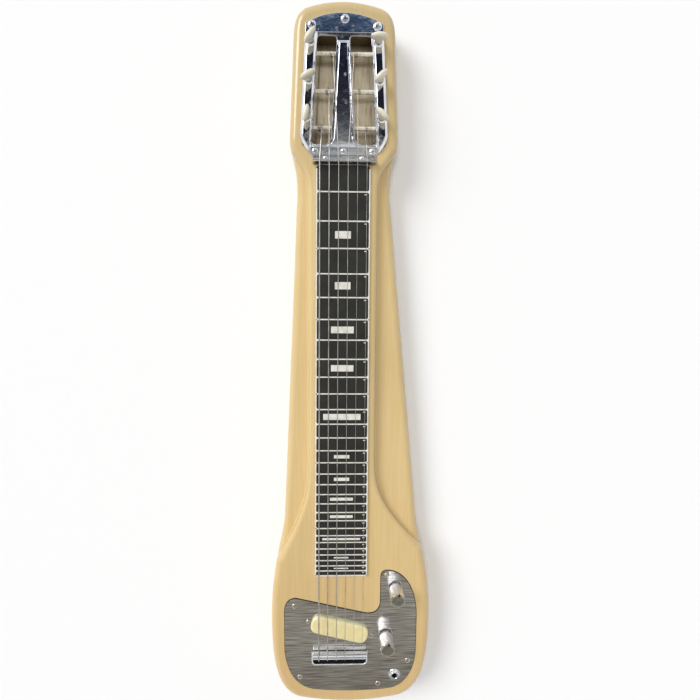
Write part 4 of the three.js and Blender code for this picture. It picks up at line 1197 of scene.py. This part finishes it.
def button_mesh():
    """An oval pad, a little fuller than an ellipsoid, on a short neck."""
    width, thickness, height = BUTTON_SIZE
    across, through, upright, belly = BUTTON_FULLNESS
    levels, count = 16, 32
    least_share = 0.03
    rings = []
    for k in range(levels + 1):
        angle = math.pi * (k / levels - 0.5)
        z = swelled(math.sin(angle), upright)
        girth = max(math.cos(angle), least_share) ** belly
        rings.append([Vector((swelled(math.cos(turn), across) * girth * width / 2,
                              swelled(math.sin(turn), through) * girth * thickness / 2,
                              (z + 1) * height / 2)) for turn in around(count)])
    return merged(loft(rings), lathe(NECK_PROFILE, 24))


def gear_mesh():
    """A gear about the X axis."""
    pitch = TURN / GEAR_TEETH
    corners = ((GEAR_ROOT, -ROOT_SHARE), (GEAR_TIP, -TIP_SHARE),
               (GEAR_TIP, TIP_SHARE), (GEAR_ROOT, ROOT_SHARE))
    points = []
    for k in range(GEAR_TEETH):
        points += [Vector(on_circle(radius, (k + 0.5 + share) * pitch)) for radius, share in corners]
    bm = slab(points, -GEAR_WIDTH / 2, GEAR_WIDTH / 2)
    bm.transform(Matrix(((0, 0, 1, 0), (1, 0, 0, 0), (0, 1, 0, 0), (0, 0, 0, 1))))
    return bm


def add_machines():
    for i, (sign, _, post, x, y) in enumerate(machines()):
        label = i + 1
        turn = Matrix.Rotation(math.radians(BUTTON_TURNS[i]), 4, "Z")
        piece(f"button_{label}", button_mesh(), CREAM, [f"tuner_button_{label}"],
              f"tuner_{label}", sharp=60, at=Matrix.Translation((x, y, BUTTON_BOTTOM)) @ turn)
        outer = x + sign * POST_OUTSIDE
        inner = rib_edge(sign, post, PAN_SHEET + POST_RIB_GAP)
        bar = rod((inner, post, POST_AXIS_Z), (outer, post, POST_AXIS_Z), POST_RADIUS)
        gear = moved(gear_mesh(), x, post, POST_AXIS_Z)
        piece(f"post_{label}", merged(bar, gear), POST_STEEL, [f"string_post_{label}"],
              f"post_{label}")


# Strings

def touch_angle(away, radius):
    """Where a straight line from a point touches a circle about the origin."""
    return math.atan2(away.y, away.x) - math.acos(radius / away.length)


def string_points(i):
    """The same path as the solid string has, with finer turns: anchor, saddle, nut and round the post."""
    radius = STRING_DIAMETERS[i] / 2
    share = i / (len(STRING_DIAMETERS) - 1) - 0.5
    x_nut, x_bridge = STRING_CENTRE + share * NUT_SPREAD, STRING_CENTRE + share * BRIDGE_SPREAD
    sign, _, post, _, _ = machines()[i]
    nut = Vector((NUT_FRONT + NUT_SHEET / 2, NUT_TOP + STRING_GAP + radius))
    saddle = Vector((-SCALE_LENGTH, SADDLE_Z))
    ball = Vector((-SCALE_LENGTH - ANCHOR_REACH - ANCHOR_SHEET - STRING_GAP - BALL_RADIUS, ANCHOR_HOLE_Z))
    bend = SADDLE_RADIUS + STRING_GAP + radius
    to_nut = nut - saddle
    first = touch_angle(ball - saddle, bend)
    first += TURN if first < 0 else 0
    last = math.atan2(to_nut.y, to_nut.x) + math.acos(bend / to_nut.length)
    points = [Vector((x_bridge, *ball))]
    steps = 10
    for k in range(steps + 1):
        angle = first + (last - first) * k / steps
        points.append(Vector((x_bridge, *on_circle(bend, angle, *saddle))))
    points.append(Vector((x_nut, *nut)))
    turn_radius = POST_RADIUS + STRING_GAP + radius
    centre = Vector((post, POST_AXIS_Z))
    start = touch_angle(nut - centre, turn_radius)
    for k in range(STRING_TURNS[i] * TURN_STEPS + 1):
        angle = start - TURN * k / TURN_STEPS
        x = sign * (POST_REACH[i] + (STRING_DIAMETERS[i] + TURN_GAP) * k / TURN_STEPS)
        points.append(Vector((x, *on_circle(turn_radius, angle, *centre))))
    return points


def add_strings():
    for i, diameter in enumerate(STRING_DIAMETERS):
        points = string_points(i)
        reach = Vector((BALL_LENGTH / 2, 0, 0))
        ball = rod(points[0] - reach, points[0] + reach, BALL_RADIUS)
        wire = merged(tube(points, diameter / 2), ball)
        piece(f"wire_{i + 1}", wire, WIRE, [f"string_{i + 1}"])


# Nut, bridge and plate

def ends(centre, length):
    return centre - length / 2, centre + length / 2


def add_nut():
    x0, x1 = ends(NUT_CENTRE, NUT_LENGTH)
    flange = block(x0, x1, NUT_FRONT, NUT_BACK, FACE, FACE + NUT_SHEET)
    wall = block(x0, x1, NUT_FRONT, NUT_FRONT + NUT_SHEET, FACE + NUT_WALL_FOOT, NUT_TOP)
    rounds = [bevelled(bm, width) for bm, width in zip((flange, wall), NUT_ROUNDS)]
    piece("nut_bracket", merged(*rounds), CHROME, ["nut"])
    # A dark strip between the fretboard and the nut: painted shade for the shadow and dark reflection under
    # the nut's wall.
    x0, x1 = ends(STRING_CENTRE, 2 * board_half(-BOARD_START))
    shade_strip = block(x0, x1, -BOARD_START, NUT_FRONT, FACE, SHADE_STRIP_TOP)
    piece("nut_shade_strip", shade_strip, DARK_PLASTIC)


def add_bridge():
    x0, x1 = ends(BRIDGE_CENTRE, BRIDGE_LENGTH)
    y0, y1 = ends(-SCALE_LENGTH, BRIDGE_WALL)
    bar = rod((x0, -SCALE_LENGTH, SADDLE_Z), (x1, -SCALE_LENGTH, SADDLE_Z), SADDLE_RADIUS, 32, BRIDGE_ROUND)
    wall = bevelled(block(x0, x1, y0, y1, WELL_FLOOR, SADDLE_Z), BRIDGE_ROUND)
    foot = block(x0, x1, -SCALE_LENGTH - BRIDGE_REACH, y1, WELL_FLOOR, WELL_FLOOR + BRIDGE_FOOT)
    piece("bridge_bar", merged(bar, wall, foot), CHROME, ["bridge"])


def plate_outline():
    line = [PLATE_START]
    for end, *curving in PLATE_HEAD:
        line += curve(line[-1], end, *curving) if curving else [end]
    line += bow(line[-1], *PLATE_TAIL, 14)
    line += curve(line[-1], PLATE_START, PLATE_END_SHARES, 18)
    return vectors(counter_clockwise(line[:-1]))


def plate_holes():
    below, above = FACE - OVERCUT, PLATE_TOP + OVERCUT
    bores = ((JACK, JACK_HOLE_RADIUS), (VOLUME, POT_HOLE_RADIUS), (TONE, POT_HOLE_RADIUS))
    return [slab(well_outline(), below, above), pickup_cutter(PICKUP_HOLE_GAP, below, above),
            *[drill(*place, radius, below) for place, radius in bores]]


def add_plate():
    plate = bevelled(cut(slab(plate_outline(), FACE, PLATE_TOP), *plate_holes()), PLATE_ROUND, 2, 50)
    piece("plate_cover", plate, PLATE_METAL, ["control_plate"], sharp=40)
    # A dark line just outside the plate's edge.
    dark_border = slab(inset(plate_outline(), -DARK_BORDER_OUTSIDE), DARK_BORDER_FOOT, DARK_BORDER_TOP)
    piece("plate_dark_border", cut(dark_border, *plate_holes()), DARK_PLASTIC)


def add_well_rim():
    """A bright lip round the string well, open on the side of the bridge, where its line starts and ends."""
    edge = well_outline()
    first = max(range(len(edge)), key=lambda i: (round(edge[i].y), -edge[i].x))
    open_line = [p for p in edge[first:] + edge[:first] if p.y < WELL[3] - RIM_SHORT]
    middle = Vector((0, (WELL[2] + WELL[3]) / 2))
    rim = [p + (middle - p).normalized() * RIM_INSET for p in open_line]
    piece("well_rim", tube(flat(rim, RIM_Z), RIM_RADIUS), KNURLED)


# Pickup, knobs and jack

def add_pickup():
    cover = slab(pickup_outline(), PICKUP_FOOT, PICKUP_TOP, PICKUP_EASE, 7)
    piece("pickup_case", cover, PICKUP_CREAM, ["pickup_cover"], sharp=50, at=pickup_place())


def pickup_screws():
    return [on_circle(reach, PICKUP_TURN, *PICKUP) for reach in (-PICKUP_SCREW_REACH, PICKUP_SCREW_REACH)]


def knob_mesh():
    """A straight-knurled barrel with a chamfered, faintly dished top and a plain foot."""
    points_each = 4
    rings = []
    for z, size, share in KNOB_RINGS:
        ring = []
        for k, angle in enumerate(around(KNURL_COUNT * points_each)):
            wave = abs(k % points_each - points_each / 2) / (points_each / 2)
            ring.append(Vector((*on_circle(size - share * KNURL_DEPTH * wave, angle), z)))
        rings.append(ring)
    return loft(rings)


def add_controls():
    for name, place in (("volume", VOLUME), ("tone", TONE)):
        knob = knob_mesh()
        paint(knob, 1, lambda middle: middle.z > KNOB_TOP_START)
        at = Matrix.Translation((*place, KNOB_BOTTOM))
        body = f"{name}_control"
        piece(f"knob_{name}", knob, [KNURLED, KNOB_TOP], [f"{name}_knob"], body, sharp=50, at=at)
        piece(f"knob_mark_{name}", lathe(MARK_PROFILE, 20), DARK_PLASTIC, body=body,
              at=at @ Matrix.Translation(MARK_PLACE))


def add_jack():
    place = Matrix.Translation((*JACK, 0))
    barrel = lathe(BARREL_PROFILE, 40, JACK_TOP)
    paint(barrel, 1, lambda middle: middle.xy.length < BORE_RADIUS + BORE_MARGIN)
    piece("jack_barrel", barrel, [CHROME, DARK_PLASTIC], ["output_jack"], at=place)
    washer = lathe(WASHER_PROFILE, 40, PLATE_TOP, hollow=True)
    piece("jack_washer", washer, CHROME, at=place)
    nut = lathe(JACK_NUT_PROFILE, 6, PLATE_TOP, hollow=True)
    piece("jack_ring", nut, CHROME, ["jack_nut"], at=place)


# Screws

def screw_mesh(head, rise, shank, length):
    """A domed head with a cross recess, on a plain shank."""
    seat_share, low_share = 0.96, 0.25
    profile = [(shank, -length), (shank, -NECK_BELOW), (head * seat_share, 0), (head, rise * low_share)]
    for angle in [math.radians(a) for a in (20, 40, 60, 78)]:
        profile.append((head * math.cos(angle), rise * (low_share + (1 - low_share) * math.sin(angle))))
    arm_share, width_share, floor_share = RECESS_SHARES
    arm, width, floor = head * arm_share, head * width_share, rise * floor_share
    recess = [block(-x, x, -y, y, floor, rise + RECESS_ABOVE) for x, y in ((arm, width), (width, arm))]
    return cut(lathe(profile, 28), *recess)


def add_screws():
    pan_face = FACE + PAN_SHEET
    sets = (
        ("pan_screw", PAN_SCREWS, pan_face, LARGE_SCREW, CHROME),
        ("pan_foot_screw", PAN_FOOT_SCREWS, pan_face, SMALL_SCREW, CHROME),
        ("nut_screw", NUT_SCREWS, FACE + NUT_SHEET, NUT_SCREW, CHROME),
        ("plate_screw", PLATE_SCREWS, PLATE_TOP, SMALL_SCREW, STEEL),
        ("pickup_screw", pickup_screws(), PLATE_TOP, PICKUP_SCREW, STEEL),
    )
    first_turn, next_turn = SCREW_TURNS
    for name, places, seat, sizes, metal in sets:
        for i, (x, y) in enumerate(places):
            turn = Matrix.Rotation(math.radians(first_turn + next_turn * i), 4, "Z")
            piece(f"{name}_head_{i + 1}", screw_mesh(*sizes), metal, [f"{name}_{i + 1}"],
                  at=Matrix.Translation((x, y, seat)) @ turn)


# Shading

def settle_shading():
    """Large flat faces keep their own normals beside narrow rounded edges."""
    shaded = [obj for obj in bpy.context.scene.objects if obj.modifiers.get("shading")]
    graph = bpy.context.evaluated_depsgraph_get()
    meshes = [bpy.data.meshes.new_from_object(obj.evaluated_get(graph)) for obj in shaded]
    for obj, mesh in zip(shaded, meshes):
        obj.modifiers.clear()
        obj.data = mesh


# Solids that stay as they are

def dress_solids():
    looks = {"steel": STEEL, "chrome": CHROME, "dark_plastic": DARK_PLASTIC, "cream_plastic": CREAM,
             "string_steel": WIRE, "plate_metal": PLATE_METAL, "lacquered_body": LACQUER,
             "fretboard_black": BOARD_BLACK}
    slots = {part["node"]: part["material_slot"] for part in frame["record"]["subparts"]}
    for name, obj in frame["nodes"].items():
        obj.data.materials.clear()
        obj.data.materials.append(looks[slots[name]])


# Stage, light and camera

def add_stage():
    mesh = bpy.data.meshes.new("floor")
    corners = rectangle(-FLOOR_REACH, FLOOR_REACH, -FLOOR_REACH, FLOOR_REACH)
    mesh.from_pydata(flat(corners, 0), [], [(0, 1, 2, 3)])
    floor = add_object("floor", mesh)
    floor.location.z = -FLOOR_DROP
    mesh.materials.append(material("floor_white", (0.97, 0.97, 0.97), 0.9))


def from_zenith(world, away, up):
    """The angle of a direction from the zenith, towards one axis."""
    return add_node(world, "Math", {0: away, 1: up}, operation="ARCTAN2").outputs["Value"]


def by_degrees(stops):
    """Stops in degrees from the zenith as shares of the half turn from one horizon to the other."""
    return [(0.5 + angle / 180, color) for angle, color in stops]


def mirrored_color(world, direction):
    """What polished metal mirrors, by the angles of a direction from the zenith."""
    north = from_zenith(world, direction["Y"], direction["Z"])
    east = from_zenith(world, direction["X"], direction["Z"])
    share = spread_between(world, north, -math.pi / 2, math.pi / 2)
    high = ramp(world, share, by_degrees(MIRRORED))
    compared = {0: east, 1: math.radians(DARK_MIDDLE), 2: math.radians(DARK_HALF_WIDTH)}
    near_middle = add_node(world, "Math", compared, operation="COMPARE").outputs["Value"]
    across = ramp(world, near_middle, [(0, 1), (1, 0)])
    along = ramp(world, share, by_degrees(DARK_REACH))
    high = mixed(world, tinted(world, across, along), high, (*DARK_COLOR, 1))
    return mixed(world, ramp(world, direction["Z"], LOW_SKY), high, (*WHITE, 1))


def add_world():
    """Soft light, brighter low down, a room for polished metal to mirror, and white for the camera."""
    world = bpy.data.worlds.new("studio")
    bpy.context.scene.world = world
    world.use_nodes = True
    world.node_tree.nodes.clear()
    direction = axes(world, add_node(world, "TexCoord").outputs["Generated"])
    colors = (ramp(world, direction["Z"], SOFT_LIGHT), mirrored_color(world, direction), (*WHITE, 1))
    shades = [add_node(world, "Background", {"Color": color}).outputs[0] for color in colors]
    soft, mirrored, backdrop = shades
    path = add_node(world, "LightPath").outputs
    light = add_node(world, "MixShader", {"Fac": path["Is Glossy Ray"], 1: soft, 2: mirrored})
    shown = add_node(world, "MixShader", {"Fac": path["Is Camera Ray"], 1: light.outputs[0], 2: backdrop})
    add_node(world, "OutputWorld", {"Surface": shown.outputs[0]})


def add_lights():
    """A soft key from the upper left, and a soft light from overhead that mirrors don't show."""
    for name, strength, spread, towards in LAMPS:
        sun = bpy.data.lights.new(name, "SUN")
        sun.energy = strength
        sun.angle = math.radians(spread)
        lamp = add_object(name, sun)
        lamp.rotation_euler = Vector(towards).to_track_quat("Z", "Y").to_euler()
        lamp.visible_glossy = name == "key"


def add_camera():
    data = bpy.data.cameras.new("camera")
    data.sensor_width = SENSOR_WIDTH
    data.lens = FOCAL_SHARE * SENSOR_WIDTH
    data.clip_start = CLIP_START
    camera = add_object("camera", data)
    turns = [Matrix.Rotation(math.radians(angle), 4, axis) for angle, axis in zip(CAMERA_TILT, "XYZ")]
    to_camera = turns[2] @ turns[1] @ turns[0]
    place = (Vector(CAMERA_PLACE) + SHIFT) * MM
    camera.matrix_world = Matrix.Translation(place) @ to_camera.inverted()
    bpy.context.scene.camera = camera


bpy.context.scene.view_settings.view_transform = "Standard"
add_camera()
add_stage()
add_world()
add_lights()
dress_solids()
add_body()
add_fretboard()
add_pan()
add_machines()
add_strings()
add_nut()
add_bridge()
add_plate()
add_well_rim()
add_pickup()
add_controls()
add_jack()
add_screws()
settle_shading()
